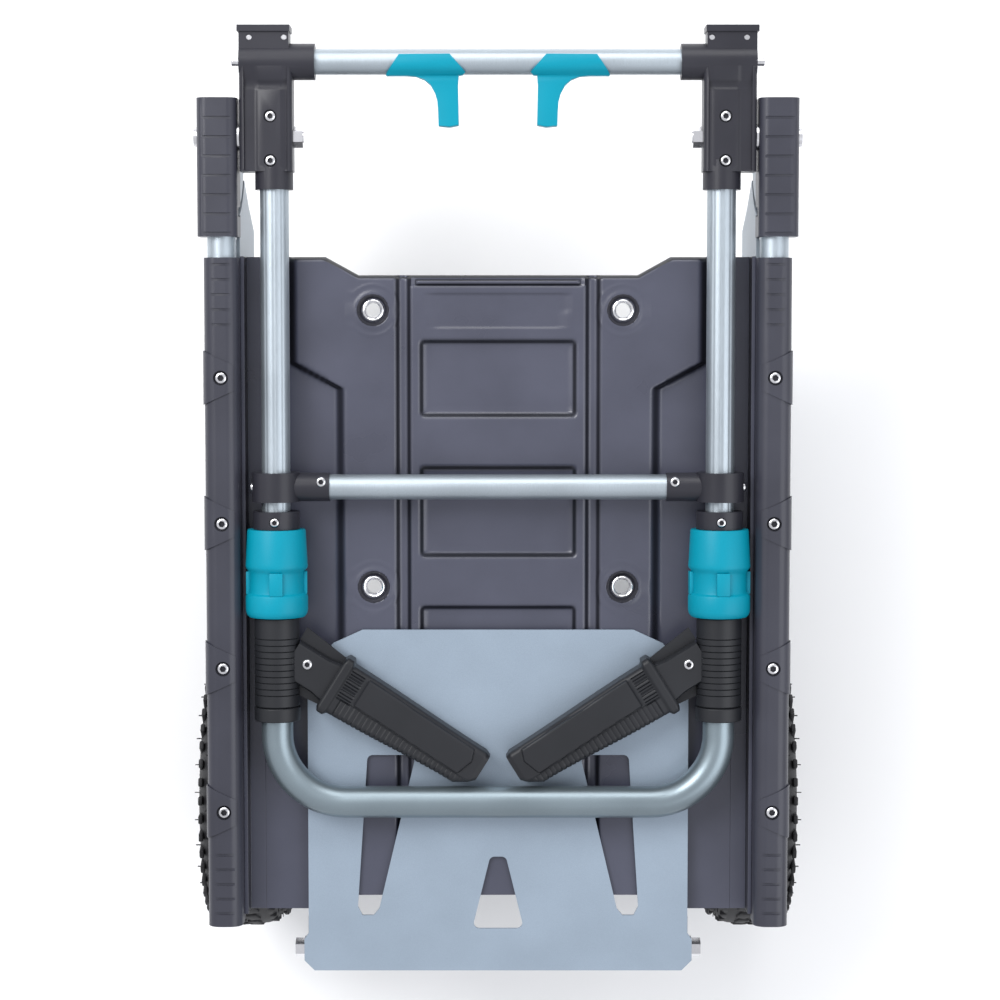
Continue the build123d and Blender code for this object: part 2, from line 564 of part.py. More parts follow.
bar_end = upright_x + 5.8
cross_bar = rod_x(-bar_end, bar_end, bar_y_pos, rail_height, bar_radius)
cross_bar -= rod_x(-bar_end - 1, bar_end + 1, bar_y_pos, rail_height, bar_radius - bar_wall)
link_x = 44.0
trigger_travel = 10.0
link_radius = 3.0
for side in (-1, 1):
    near = side * (link_x - trigger_travel - link_radius - 0.5)
    far = side * (link_x + link_radius + 0.5)
    cross_bar -= block(near, far, bar_y_pos - bar_radius - 2, bar_y_pos - 4, rail_height - 3.4, rail_height + 3.4)

grip_shift = pivot_y - 340.3
brace_y = pivot_y - 303.5
connector_half = 12.7
flutes = 10
upright_end = pivot_y - 511.0
upright = rod_y(upright_end, upright_top, upright_x, rail_height, tube_radius)
upright -= rod_y(upright_end - 1, upright_top + 1, upright_x, rail_height, tube_radius - tube_wall)
for i in range(flutes):
    angle = radians(360 / flutes * (i + 0.5))
    flute_x = upright_x + (tube_radius + 0.5) * cos(angle)
    flute_z = rail_height + (tube_radius + 0.5) * sin(angle)
    upright -= rod_y(upright_end - 1, socket_end - 4, flute_x, flute_z, 1.2)

connector = rod_y(brace_y - connector_half, brace_y + connector_half, upright_x, rail_height, 21.0)
connector += rod_x(upright_x - 47, upright_x, brace_y, rail_height, 12.6)
connector -= rod_y(brace_y - 20, brace_y + 20, upright_x, rail_height, tube_radius + fit_gap)
connector -= rod_x(upright_x - 48, upright_x - 22, brace_y, rail_height, bar_radius + fit_gap)
brace_end = upright_x - 22.5
brace = rod_x(-brace_end, brace_end, brace_y, rail_height, bar_radius)
brace -= rod_x(-brace_end - 1, brace_end + 1, brace_y, rail_height, bar_radius - bar_wall)

frame_screws = []
for y in (pivot_y + 17, pivot_y - 21):
    bracket -= rod_z(rail_height + body_half - 2, rail_height + body_half + 3, upright_x + 2, y, 5.6)
    bracket -= rod_z(rail_height + tube_radius - 1, rail_height + body_half + 3, upright_x + 2, y, 2.0)
    frame_screws.append(button_screw(upright_x + 2, y, rail_height + body_half - 2, 4.6, 1.9, 0.4))
for x in (upright_x - 40.0,):
    connector -= rod_z(rail_height, rail_height + 14, x, brace_y + 5, 2.0)
    connector -= rod_z(rail_height + 11.1, rail_height + 14, x, brace_y + 5, 4.4)
    for side in (-1, 1):
        brace -= rod_z(rail_height, rail_height + 14, side * x, brace_y + 5, 2.0)
    frame_screws.append(button_screw(x, brace_y + 5, rail_height + 11.1, 4.2, 1.9, 4.0))
side_screw = button_screw(0, 0, 0, 4.2, 1.9, 4.0)
frame_screws.append(Pos(upright_x + 20.8, brace_y, rail_height) * Rot(0, 90, 0) * side_screw)
connector -= rod_x(upright_x + 15, upright_x + 25, brace_y, rail_height, 2.0)
connector -= rod_x(upright_x + 20.8, upright_x + 25, brace_y, rail_height, 4.4)

# ---- trigger and lock rod ----
trigger_top = bar_y_pos + 6.0
trigger_foot = bar_y_pos - 14.0
stem_end = pivot_y + 8.5
wing = [(33, trigger_top), (86, trigger_top), (99, trigger_foot), (27, trigger_foot)]
stem = [(31.5, trigger_foot + 1), (66, trigger_foot + 1), (58, trigger_foot - 9), (54, trigger_foot - 18)]
stem += [(53.4, stem_end + 4), (50, stem_end), (35, stem_end), (31.5, stem_end + 4)]
trigger = plate_z(wing, rail_height - 14.6, rail_height + 14.6)
trigger = fillet(trigger.edges().filter_by(Axis.Z), 3.0)
trigger += plate_z(stem, rail_height - 10, rail_height + 10)
for y in (trigger_foot - 24, trigger_foot - 38):
    trigger += rod_z(rail_height - 11, rail_height + 11, 52.6, y, 2.4)
trigger -= rod_x(20, 110, bar_y_pos, rail_height, bar_radius + run_gap)
trigger -= rod_y(trigger_foot - 4, bar_y_pos, link_x, rail_height, link_radius + 0.02)
rod_tip = bracket_outer + 8.0
lock_rod = rod_x(link_x - 6, rod_tip - 1, bar_y_pos, rail_height, pin_radius)
lock_rod += Pos(rod_tip - 0.5, bar_y_pos, rail_height) * Rot(0, 90, 0) * Cone(pin_radius, pin_radius - 1, 1)
lock_rod += rod_y(trigger_foot - 4, bar_y_pos, link_x, rail_height, link_radius)

# ---- push handle ----
core_top = pivot_y - 324.6
cap_end = core_top - 15.5
core_end = core_top - 92.6
bend_radius = 60.0
push_bar_y = pivot_y - 582.0
bend_y = push_bar_y + bend_radius
leg_top = core_top - 9.0


def push_path():
    """Centre line of the U handle, from one leg round to the other."""
    right = Line((upright_x, leg_top, rail_height), (upright_x, bend_y, rail_height))
    mid = sqrt(0.5) * bend_radius
    centre = upright_x - bend_radius
    bend_r = ThreePointArc((upright_x, bend_y, rail_height), (centre + mid, bend_y - mid, rail_height),
                           (centre, push_bar_y, rail_height))
    foot = Line((centre, push_bar_y, rail_height), (-centre, push_bar_y, rail_height))
    bend_l = ThreePointArc((-centre, push_bar_y, rail_height), (-centre - mid, bend_y - mid, rail_height),
                           (-upright_x, bend_y, rail_height))
    left = Line((-upright_x, bend_y, rail_height), (-upright_x, leg_top, rail_height))
    return Wire([right, bend_r, foot, bend_l, left])


mouth = Plane((upright_x, leg_top, rail_height), x_dir=(1, 0, 0), z_dir=(0, -1, 0))
push_tube = sweep(mouth * Circle(push_tube_radius), path=push_path())
push_tube -= sweep(mouth * Circle(push_inner), path=push_path())

lock_core = rod_y(cap_end, core_top, upright_x, rail_height, core_cap_radius)
lock_core += rod_y(core_end, core_top - 1, upright_x, rail_height, core_radius)
lock_core -= rod_y(core_end - 1, leg_top, upright_x, rail_height, push_tube_radius + fit_gap)
lock_core -= rod_y(core_end, core_top + 1, upright_x, rail_height, push_inner)
lock_core -= rod_z(rail_height + core_cap_radius - 2, rail_height + 30, upright_x, core_top - 9, 4.4)
core_screw = button_screw(upright_x, core_top - 9, rail_height + core_cap_radius - 2, 4.0, 1.5, 0.6)
lock_core -= rod_z(rail_height + core_cap_radius - 3, rail_height + 30, upright_x, core_top - 9, 1.6)

# twist sleeve, waisted, with raised arrow bosses in the waist
sleeve_top = cap_end - side_gap
sleeve_low = core_end
span = sleeve_top - sleeve_low
sleeve_profile = [(25.2, 0), (sleeve_radius, 0.42 * span), (24.0, 0.49 * span), (24.0, 0.70 * span)]
sleeve_profile += [(sleeve_radius, 0.75 * span), (sleeve_radius, 0.93 * span), (25.0, span)]
outline = [(core_radius + run_gap, 0, sleeve_top)] + [(r, 0, sleeve_top - d) for r, d in sleeve_profile]
outline += [(core_radius + run_gap, 0, sleeve_low)]
sleeve = revolve(make_face(Polyline(*outline, close=True)), Axis.Z, 360)
for i in range(4):
    boss_high = sleeve_top - 0.56 * span
    boss = block(-6, 6, 22.5, 26.6, boss_high - 5, boss_high)
    boss += block(-2.5, 2.5, 22.5, 26.6, boss_high - 14, boss_high)
    sleeve += Rot(0, 0, 90 * i) * boss
sleeve = Pos(upright_x, 0, rail_height) * Rot(-90, 0, 0) * sleeve

# grip sleeve with stub arm, and the grip on it
grip_top = core_end - side_gap
grip_low = grip_top - 79.0
end_low = grip_low - 12.5
lean = radians(32.0)
root_y = grip_top - 24.0
along = (-cos(lean), -sin(lean))


def arm_plane(distance):
    """Cross-section plane of the grip at a distance from the leg axis."""
    origin = (upright_x + along[0] * distance, root_y + along[1] * distance, rail_height)
    return Plane(origin, x_dir=(sin(lean), -cos(lean), 0), z_dir=(along[0], along[1], 0))


grip_start = 60.0
grip_length = 149.0
grip_sleeve = rod_y(grip_low, grip_top, upright_x, rail_height, grip_sleeve_radius)
for i in range(7):
    y = grip_top - 10 - 10 * i
    ring = rod_y(y - 0.8, y + 0.8, upright_x, rail_height, grip_sleeve_radius + 1)
    grip_sleeve -= ring - rod_y(y - 2, y + 2, upright_x, rail_height, grip_sleeve_radius - 0.9)
stub = extrude(arm_plane(0) * RectangleRounded(36, 26, 9), grip_start)
web = [(upright_x - 12, grip_top - 4), (upright_x - 48, root_y - 26), (upright_x - 30, root_y - 44)]
web += [(upright_x - 12, grip_low + 8)]
grip_sleeve += stub & block(0, upright_x, grip_low + 1, grip_top - 1, rail_height - 20, rail_height + 20)
grip_sleeve += plate_z(web, rail_height - 2, rail_height + 2)
collar = extrude(arm_plane(grip_start - 8) * RectangleRounded(44, 30, 9), 8)
grip_sleeve += collar
grip_sleeve -= rod_y(grip_low - 1, grip_top + 1, upright_x, rail_height, push_tube_radius + run_gap)
end_ring = rod_y(end_low, grip_low - side_gap, upright_x, rail_height, grip_sleeve_radius + 0.4)
end_ring -= rod_y(end_low - 1, grip_low, upright_x, rail_height, push_tube_radius + fit_gap)

root_face = arm_plane(grip_start) * RectangleRounded(52, 31, 9)
mid_face = arm_plane(grip_start + 36) * RectangleRounded(48, 31, 9)
neck_face = arm_plane(grip_start + grip_length - 20) * RectangleRounded(37, 29, 8)
tip_face = arm_plane(grip_start + grip_length) * Pos(-4, 0) * RectangleRounded(25, 27, 7)
grip = loft([root_face, mid_face, neck_face, tip_face], ruled=True)
grip_screws = []
seat = rail_height + 13.0
screw_at = arm_plane(grip_start - 28).origin
grip_sleeve -= rod_z(seat - 2, seat + 6, screw_at.X, screw_at.Y, 5.0)
grip_sleeve -= rod_z(seat - 6, seat + 6, screw_at.X, screw_at.Y, 2.0)
grip_screws.append(button_screw(screw_at.X, screw_at.Y, seat - 2, 4.4, 1.9, 3.5))

# ---- files ----
save("deck", deck)
save_pair("rail_tube", rail_tube)
save_pair("rail_cover", cover)
save("rail_screws", pairs(screws))
save_pair("end_housing", housing)
save("wear_plates", both(wear_plate))
save("pivot_bolts", pairs([pivot_bolt, pivot_washer, pivot_nut]))
save("eyelets", group(eyelets))
save("cross_beams", Compound(children=[cross_beam(beam_rear_y), cross_beam(beam_front_y)]))
save("axle_brackets", both(axle_bracket))
save("bracket_bolts", pairs(deck_bolts + carrier_bolts))
save("axle", axle)
save("axle_collars", pairs([axle_spacer, axle_cap]))
save("toe_hinge_bolts", pairs([toe_bolt, toe_nut]))
save("castor_carriers", both(carrier))
save("castor_plates", both(castor_plate))
save("castor_bolts", pairs(castor_bolts + [kingpin]))
save_pair("castor_fork", fork)
save_pair("castor_axle", castor_axle)
save_pair("castor_tyre", castor_tyre)
save_pair("castor_core", castor_core)
save_pair("tyre", tyre)
save_pair("rim", rim)
save("toe_plate", toe_plate)
save_pair("pivot_bracket", bracket)
save("buffer_blocks", both(buffer_block))
save("cross_bar", cross_bar)
save_pair("upright", upright)
save_pair("brace_connector", connector)
save("brace", brace)
save("frame_screws", pairs(frame_screws + buffer_pins))
save_pair("trigger", trigger)
save_pair("lock_rod", lock_rod)
save("push_tube", push_tube)
save("lock_cores", both(lock_core))
save("core_screws", both(core_screw))
save("end_rings", both(end_ring))
save_pair("twist_sleeve", sleeve)
save_pair("grip_sleeve", grip_sleeve)
save_pair("grip", grip)
save_pair("grip_screw", group(grip_screws))
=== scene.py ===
# %% [markdown]
# # A folding platform cart
#
# The cart lies on its four wheels with the handle folded flat over the deck.
# Its shape and its joints come from a packed engineering model, loaded below.
# This lesson dresses that model: moulded plastics, drawn tubes, painted steel,
# zinc screws, treaded tyres and soft grips, one step at a time.
# Lengths are in metres, X is across the cart, +Y towards the handle pivots.

import json
from math import cos, pi, radians, sin

import bpy
import bmesh
from mathutils import Matrix, Vector


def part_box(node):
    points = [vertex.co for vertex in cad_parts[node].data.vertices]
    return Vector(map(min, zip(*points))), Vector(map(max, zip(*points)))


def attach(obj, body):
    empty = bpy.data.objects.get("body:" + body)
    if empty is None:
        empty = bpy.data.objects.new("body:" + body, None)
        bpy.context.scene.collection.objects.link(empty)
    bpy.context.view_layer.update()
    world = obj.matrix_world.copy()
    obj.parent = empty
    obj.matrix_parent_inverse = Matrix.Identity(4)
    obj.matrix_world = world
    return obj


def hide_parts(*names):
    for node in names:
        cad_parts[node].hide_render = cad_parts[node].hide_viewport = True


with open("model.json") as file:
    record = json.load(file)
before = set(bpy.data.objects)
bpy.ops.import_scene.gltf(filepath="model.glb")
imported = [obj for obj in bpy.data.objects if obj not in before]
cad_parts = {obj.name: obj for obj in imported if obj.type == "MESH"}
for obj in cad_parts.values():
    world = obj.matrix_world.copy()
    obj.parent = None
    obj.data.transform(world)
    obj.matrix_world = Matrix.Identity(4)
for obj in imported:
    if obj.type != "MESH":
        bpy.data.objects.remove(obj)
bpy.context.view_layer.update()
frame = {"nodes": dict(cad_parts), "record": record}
body_of = {}
for body, nodes in frame["record"]["behaviour"]["bodies"].items():
    for node in nodes:
        body_of[node] = body
slot_of = {p["node"]: p["material_slot"] for p in frame["record"]["subparts"]}
rail_z = (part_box("brace")[0].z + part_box("brace")[1].z) / 2

# %% [markdown]
# ## Finishes
#
# Every finish is a small node tree with the same skeleton.
# A large soft noise drifts the colour, as handling and light wear do.
# A fine noise lifts the surface, as mould texture, powder coat or drawing marks do.
# Both read object coordinates in metres, so the grain has a real size
# and stays put when a piece moves. One function builds them all,
# because only the numbers differ between a tyre and a painted plate.

# %% One function for every finish


def finish(name, colour, rough, metal=0.0, grain=1500.0, depth=0.00002, drift=0.12,
           stretch=(1, 1, 1), coat=0.0, dust=0.0, gloss=0.5, hollow=0.0):
    """Principled surface with drifting colour, fine relief and uneven roughness.

    hollow is how much darker a steep wall is painted than a face turned straight up: painted shade standing
    in for the shadow on the walls of grooves and recesses.
    """
    mat = bpy.data.materials.new(name)
    mat.use_nodes = True
    tree = mat.node_tree
    nodes, links = tree.nodes, tree.links
    nodes.clear()
    out = nodes.new("ShaderNodeOutputMaterial")
    shader = nodes.new("ShaderNodeBsdfPrincipled")
    links.new(shader.outputs["BSDF"], out.inputs["Surface"])
    shader.inputs["Metallic"].default_value = metal
    shader.inputs["Specular IOR Level"].default_value = gloss
    shader.inputs["Coat Weight"].default_value = coat
    shader.inputs["Coat Roughness"].default_value = 0.25
    place = nodes.new("ShaderNodeTexCoord")
    scale = nodes.new("ShaderNodeMapping")
    scale.inputs["Scale"].default_value = stretch
    links.new(place.outputs["Object"], scale.inputs["Vector"])

    broad = nodes.new("ShaderNodeTexNoise")
    broad.inputs["Scale"].default_value = 14.0
    broad.inputs["Detail"].default_value = 4.0
    links.new(place.outputs["Object"], broad.inputs["Vector"])
    fine = nodes.new("ShaderNodeTexNoise")
    fine.inputs["Scale"].default_value = grain
    fine.inputs["Detail"].default_value = 3.0
    links.new(scale.outputs["Vector"], fine.inputs["Vector"])

    darker = [c * (1 - drift) for c in colour] + [1]
    lighter = [min(1, c * (1 + drift) + dust) for c in colour] + [1]
    ramp = nodes.new("ShaderNodeValToRGB")
    ramp.color_ramp.elements[0].position = 0.3
    ramp.color_ramp.elements[0].color = darker
    ramp.color_ramp.elements[1].position = 0.7
    ramp.color_ramp.elements[1].color = lighter
    links.new(broad.outputs["Fac"], ramp.inputs["Fac"])
    speck = nodes.new("ShaderNodeMix")
    speck.data_type = "RGBA"
    speck.blend_type = "OVERLAY"
    speck.inputs["Factor"].default_value = 0.18
    links.new(ramp.outputs["Color"], speck.inputs["A"])
    links.new(fine.outputs["Fac"], speck.inputs["B"])
    colour_out = speck.outputs["Result"]
    # Painted shade: faces that turn away from straight up get a darker colour, in place of the shadow that
    # falls on steep walls.
    if hollow:
        apart = nodes.new("ShaderNodeSeparateXYZ")
        links.new(place.outputs["Normal"], apart.inputs["Vector"])
        level = nodes.new("ShaderNodeMapRange")
        level.interpolation_type = "SMOOTHSTEP"
        level.inputs["From Min"].default_value = 0.60
        level.inputs["From Max"].default_value = 0.99
        level.inputs["To Min"].default_value = 1.0 - hollow
        links.new(apart.outputs["Z"], level.inputs["Value"])
        painted_wall_shade = nodes.new("ShaderNodeVectorMath")
        painted_wall_shade.operation = "SCALE"
        links.new(colour_out, painted_wall_shade.inputs[0])
        links.new(level.outputs["Result"], painted_wall_shade.inputs["Scale"])
        colour_out = painted_wall_shade.outputs["Vector"]
    links.new(colour_out, shader.inputs["Base Color"])

    uneven = nodes.new("ShaderNodeMapRange")
    uneven.inputs["To Min"].default_value = max(0.03, rough - 0.07)
    uneven.inputs["To Max"].default_value = min(1.0, rough + 0.09)
    links.new(broad.outputs["Fac"], uneven.inputs["Value"])
    links.new(uneven.outputs["Result"], shader.inputs["Roughness"])

    bump = nodes.new("ShaderNodeBump")
    bump.inputs["Strength"].default_value = 0.6
    bump.inputs["Distance"].default_value = depth
    links.new(fine.outputs["Fac"], bump.inputs["Height"])
    links.new(bump.outputs["Normal"], shader.inputs["Normal"])
    return mat


finishes = {
    # The deck's steep walls are painted down to 12% of its colour: painted shade in its grooves and
    # recesses.
    "deck_plastic": finish("deck_plastic", (0.055, 0.058, 0.084), 0.29, grain=2600, depth=0.00003,
                           hollow=0.88),
    "cover_plastic": finish("cover_plastic", (0.033, 0.034, 0.047), 0.36, grain=2400, depth=0.00003,
                            gloss=0.4),
    "joint_plastic": finish("joint_plastic", (0.022, 0.022, 0.029), 0.34, grain=2000, gloss=0.3),
    "tube_metal": finish("tube_metal", (0.39, 0.44, 0.48), 0.42, metal=0.85, grain=420,
                         stretch=(5, 0.3, 5), drift=0.05),
    "push_metal": finish("push_metal", (0.21, 0.26, 0.29), 0.36, metal=0.75, grain=1800, coat=0.3,
                         drift=0.06),
    "toe_steel": finish("toe_steel", (0.27, 0.33, 0.40), 0.36, metal=0.30, grain=1600, depth=0.00003,
                        drift=0.05),
    "bracket_steel": finish("bracket_steel", (0.30, 0.34, 0.38), 0.40, metal=0.6, grain=1600),
    "zinc": finish("zinc", (0.72, 0.72, 0.74), 0.20, metal=1.0, grain=900),
    "trigger_plastic": finish("trigger_plastic", (0.0, 0.235, 0.330), 0.42, grain=1900, drift=0.04,
                              gloss=0.18),
    "tyre_rubber": finish("tyre_rubber", (0.014, 0.014, 0.016), 0.62, grain=1300, depth=0.00006,
                          dust=0.008, gloss=0.35),
    "grip_rubber": finish("grip_rubber", (0.014, 0.015, 0.018), 0.44, grain=2200, depth=0.00004,
                          gloss=0.3),
    "rim_plastic": finish("rim_plastic", (0.022, 0.022, 0.026), 0.42, grain=1800, gloss=0.4),
    "castor_rubber": finish("castor_rubber", (0.040, 0.040, 0.043), 0.58, grain=1500, gloss=0.4),
    "castor_plastic": finish("castor_plastic", (0.10, 0.10, 0.11), 0.45, grain=1700, gloss=0.4),
}
for name, obj in frame["nodes"].items():
    obj.data.materials.clear()
    obj.data.materials.append(finishes[slot_of[name]])
print("finishes made:", len(finishes))

# %% [markdown]
# ## Soft edges
#
# No moulding, casting or bent plate has a knife edge.
# The engineering solids do, so each visible one is copied, its coplanar
# triangles are joined, and a narrow bevel is run round every real edge.
# The bevel is what catches the light and makes a part read as an object.

# %% Copy a node and round its edges


def placed(name, mesh):
    """New object in the scene that holds a mesh."""
    obj = bpy.data.objects.new(name, mesh)
    bpy.context.scene.collection.objects.link(obj)
    return obj


def stand_for(obj, node):
    """The piece takes the place of a node and rides with its body."""
    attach(obj, body_of[node])
    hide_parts(node)
    return obj


def keep(obj, node):
    """The piece takes the node's finish as well as its place."""
    obj.data.materials.clear()
    obj.data.materials.append(finishes[slot_of[node]])
    return stand_for(obj, node)


def soften(node, width, segments=2, angle=32, cut=None, carve=None):
    """Bevelled copy of a CAD node, less the space of another object or carved by a function if given."""
    mesh = frame["nodes"][node].data.copy()
    mesh.shade_smooth()
    work = bmesh.new()
    work.from_mesh(mesh)
    bmesh.ops.remove_doubles(work, verts=work.verts, dist=0.00001)
    bmesh.ops.dissolve_limit(work, angle_limit=radians(1.0), verts=work.verts, edges=work.edges)
    work.to_mesh(mesh)
    work.free()
    obj = placed(node + "_soft", mesh)
    if cut:
        less = obj.modifiers.new("less", "BOOLEAN")
        less.operation = "DIFFERENCE"
        less.object = cut
        less.solver = "EXACT"
    bevel = obj.modifiers.new("edge", "BEVEL")
    bevel.width = width
    bevel.segments = segments
    bevel.limit_method = "ANGLE"
    bevel.angle_limit = radians(angle)
    bevel.use_clamp_overlap = True
    if carve:
        plain_copy(obj)
        carve(obj.data)
        obj.data.shade_smooth()
        smooth(obj.data, 40)
    even = obj.modifiers.new("even", "WEIGHTED_NORMAL")
    even.weight = 100
    return keep(plain_copy(obj), node)


def plain_copy(obj):
    """Evaluated modifiers baked to a plain mesh object of the same name."""
    graph = bpy.context.evaluated_depsgraph_get()
    mesh = bpy.data.meshes.new_from_object(obj.evaluated_get(graph))
    obj.modifiers.clear()
    obj.data = mesh
    return obj


def smooth(mesh, angle):
    """Smooth shading that stays sharp over a given angle in degrees."""
    mesh.shade_smooth()
    mesh.set_sharp_from_angle(angle=radians(angle))


def ramp_between(value, start, stop):
    """0 before start, 1 after stop, smooth between."""
    t = min(1.0, max(0.0, (value - start) / (stop - start)))
    return t * t * (3 - 2 * t)


def band(value, low_side, high_side, width):
    """1 between two values, with smooth sides of a given width inside them."""
    rise = ramp_between(value, low_side, low_side + width)
    fall = ramp_between(value, high_side - width, high_side)
    return rise * (1 - fall)


softened = {
    "rail_cover_l": 0.0008, "rail_cover_r": 0.0008, "end_housing_l": 0.0012, "end_housing_r": 0.0012,
    "buffer_blocks": 0.0012, "brace_connector_l": 0.0010, "brace_connector_r": 0.0010,
    "lock_cores": 0.0008, "toe_plate": 0.0007, "rim_l": 0.0010, "rim_r": 0.0010,
    "castor_carriers": 0.0006, "cross_beams": 0.0010, "axle_brackets": 0.0006, "end_rings": 0.0010,
    "castor_fork_l": 0.0006, "castor_fork_r": 0.0006,
}
for node, width in softened.items():
    soften(node, width)
print("softened:", len(softened))

# %% [markdown]
# ## Pivot castings
#
# Each T-shaped casting holds the cross bar in its barrel and an upright in its
# stem. Its face is not one flat: a crest runs down over the upright, the
# side plate sits lower, and a shadowed hollow parts stem from barrel.
# The copied solid is sliced along a few lines and its face lowered in steps.

# %% Carve the castings
casting_face_z = rail_z + 0.0150
casting_sides = (0.1815, 0.2185)
casting_top_y = 0.3715
shoulder_ramp = (0.1845, 0.1870)
plate_ramp = (0.2052, 0.2075)
hollow_span = (0.3600, 0.3700)
cuts_x = shoulder_ramp + plate_ramp + (0.2100,)
cuts_y = (0.2940, 0.2970, 0.3600, 0.3625, 0.3680, 0.3700)


def slice_at(work, spot, normal):
    """Cut every face of a bmesh along a plane, without opening it."""
    everything = work.verts[:] + work.edges[:] + work.faces[:]
    bmesh.ops.bisect_plane(work, geom=everything, dist=0.00001, plane_co=spot, plane_no=normal)


def carve_casting(mesh):
    """Lower parts of the front face: side plate, inner edge and the hollow under the barrel."""
    work = bmesh.new()
    work.from_mesh(mesh)
    for at in cuts_x:
        for way in (-1, 1):
            slice_at(work, (at * way, 0, 0), (1, 0, 0))
    for at in cuts_y:
        slice_at(work, (0, at, 0), (0, 1, 0))
    for vert in work.verts:
        side = abs(vert.co.x)
        on_face = abs(vert.co.z - casting_face_z) <= 0.0004 and vert.co.y <= casting_top_y
        if on_face and casting_sides[0] < side < casting_sides[1]:
            plate = ramp_between(side, *plate_ramp)
            shoulder = 1 - ramp_between(side, *shoulder_ramp)
            hollow = band(vert.co.y, *hollow_span, 0.0022)
            vert.co.z -= max(0.0024 * plate, 0.0012 * shoulder, 0.0034 * hollow)
    work.to_mesh(mesh)
    work.free()


for end in "lr":
    soften("pivot_bracket_" + end, 0.0020, carve=carve_casting)
print("castings carved: 2")

# %% [markdown]
# ## The moulded deck
#
# The deck is one thin moulding. Its relief makes it stiff: a raised middle,
# a ladder of bars between two grooves, a lip along the rear edge and a boss
# round each eyelet. Relief like that is a height for every point of a plan,
# so it is written as one function and sampled on a grid whose lines crowd
# together where a wall rises. The ribbed underside stays as engineered.
# It is only cut off flat beneath the new top.

# %% Height of the deck
floor_level, raised = 0.2700, 0.2780
lowest_top, relief_under, cut_level = 0.2693, 0.2686, 0.2690
relief_half_width = 0.2076
deck_low, deck_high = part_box("deck")
rear_edge, front_edge = deck_high.y, deck_low.y

bar_pitch, bar_half = 0.124, 0.020
bar_rows = [0.0565 - bar_pitch * i for i in range(4)]
recesses = [(bar_rows[0] + bar_half, 0.148)]
recesses += [(bar_rows[i + 1] + bar_half, bar_rows[i] - bar_half) for i in range(3)]
eyelet_spots = [(x, y) for x in (-0.110, 0.110) for y in (0.1723, -0.0722)]
eyelet_hole, eyelet_reach = 0.0095, 0.030
raised_half, raised_widens, widen_from, widen_run = 0.1345, 0.0425, 0.103, 0.023
groove_sides, groove_depth = (0.0755, 0.0915), 0.0052
recess_sides, recess_depth = (0.0645, 0.0705), 0.0055
rear_channel, rear_lip = (0.1925, 0.2010), (0.1942, 0.1993)
panel_rows, panel_half, panel_slope = (0.1560, 0.1875), 0.0656, 0.28
sag = 0.0003


def deck_height(x, y):
    """Height of the deck top at a point of its plan."""
    side = abs(x)
    edge = raised_half + raised_widens * min(1.0, max(0.0, (y - widen_from) / widen_run))
    middle_part = (1 - ramp_between(side, edge - 0.001, edge + 0.0105)) * ramp_between(y, -0.360, -0.350)
    z = floor_level + (raised - floor_level) * middle_part
    z -= groove_depth * band(side, *groove_sides, 0.0060) * band(y, -0.336, rear_edge - 0.013, 0.005)
    for low_y, high_y in recesses:
        if low_y < y < high_y:
            z -= recess_depth * (1 - ramp_between(side, *recess_sides)) * band(y, low_y, high_y, 0.0065)
    z -= 0.0016 * band(side, -0.0760, 0.0760, 0.003) * band(y, *rear_channel, 0.0015)
    z += 0.0026 * band(side, -0.0735, 0.0735, 0.003) * band(y, *rear_lip, 0.0018)
    slant = panel_half - (panel_rows[1] - y) * panel_slope
    z -= 0.0014 * band(y, *panel_rows, 0.0018) * (1 - ramp_between(side, slant - 0.0018, slant))
    z += sag * sin(62 * x + 1.0) * sin(41 * y) * middle_part
    for ex, ey in eyelet_spots:
        away = ((x - ex) ** 2 + (y - ey) ** 2) ** 0.5
        if away < eyelet_reach:
            z += 0.0007 * (1 - ramp_between(away, 0.0150, 0.0185))
            z += 0.0004 * band(away, 0.0205, 0.0240, 0.0014)
            z -= 0.0032 * (1 - ramp_between(away, 0.0122, 0.0136))
    z -= 0.0040 * ramp_between(y, rear_of(x) - 0.0035, rear_of(x))
    return max(z, lowest_top)


def rear_of(x):
    """Rear outline of the deck: two shoulders with a dip between."""
    return rear_edge - 0.016 + 0.016 * min(1.0, max(0.0, (abs(x) - 0.123) / 0.029))


def front_of(x):
    """Front outline, set back in the middle."""
    return front_edge + 0.014 - 0.014 * min(1.0, max(0.0, (abs(x) - 0.137) / 0.015))


def crowded(start, stop, coarse, fine, zones):
    """Grid lines from start to stop, fine inside the zones."""
    lines = [start]
    while lines[-1] < stop - fine * 0.5:
        here = lines[-1]
        near = any(a - coarse <= here <= b for a, b in zones)
        lines.append(min(stop, here + (fine if near else coarse)))
    return lines


walls_x = [(0.066, 0.092), (0.096, 0.126), (0.133, 0.147), (0.176, 0.189)]
walls_x += [(-b, -a) for a, b in walls_x]
walls_y = [(y - 0.006, y + 0.006) for pair in recesses for y in pair]
walls_y += [(0.150, 0.2200), (-0.092, -0.052), (0.098, 0.130), (-0.364, -0.332)]
xs = crowded(-relief_half_width, relief_half_width, 0.0050, 0.0016, walls_x)
ys = crowded(front_edge, rear_edge, 0.0050, 0.0016, walls_y)
print("deck grid:", len(xs), "by", len(ys))

# %% [markdown]
# ## One skin for the deck
#
# The grid follows the shaped rear and front outlines, drops the faces inside
# the eyelets, and gets a flat underside, so that it is a closed mesh.
# The engineered deck is cut off below it with a box.

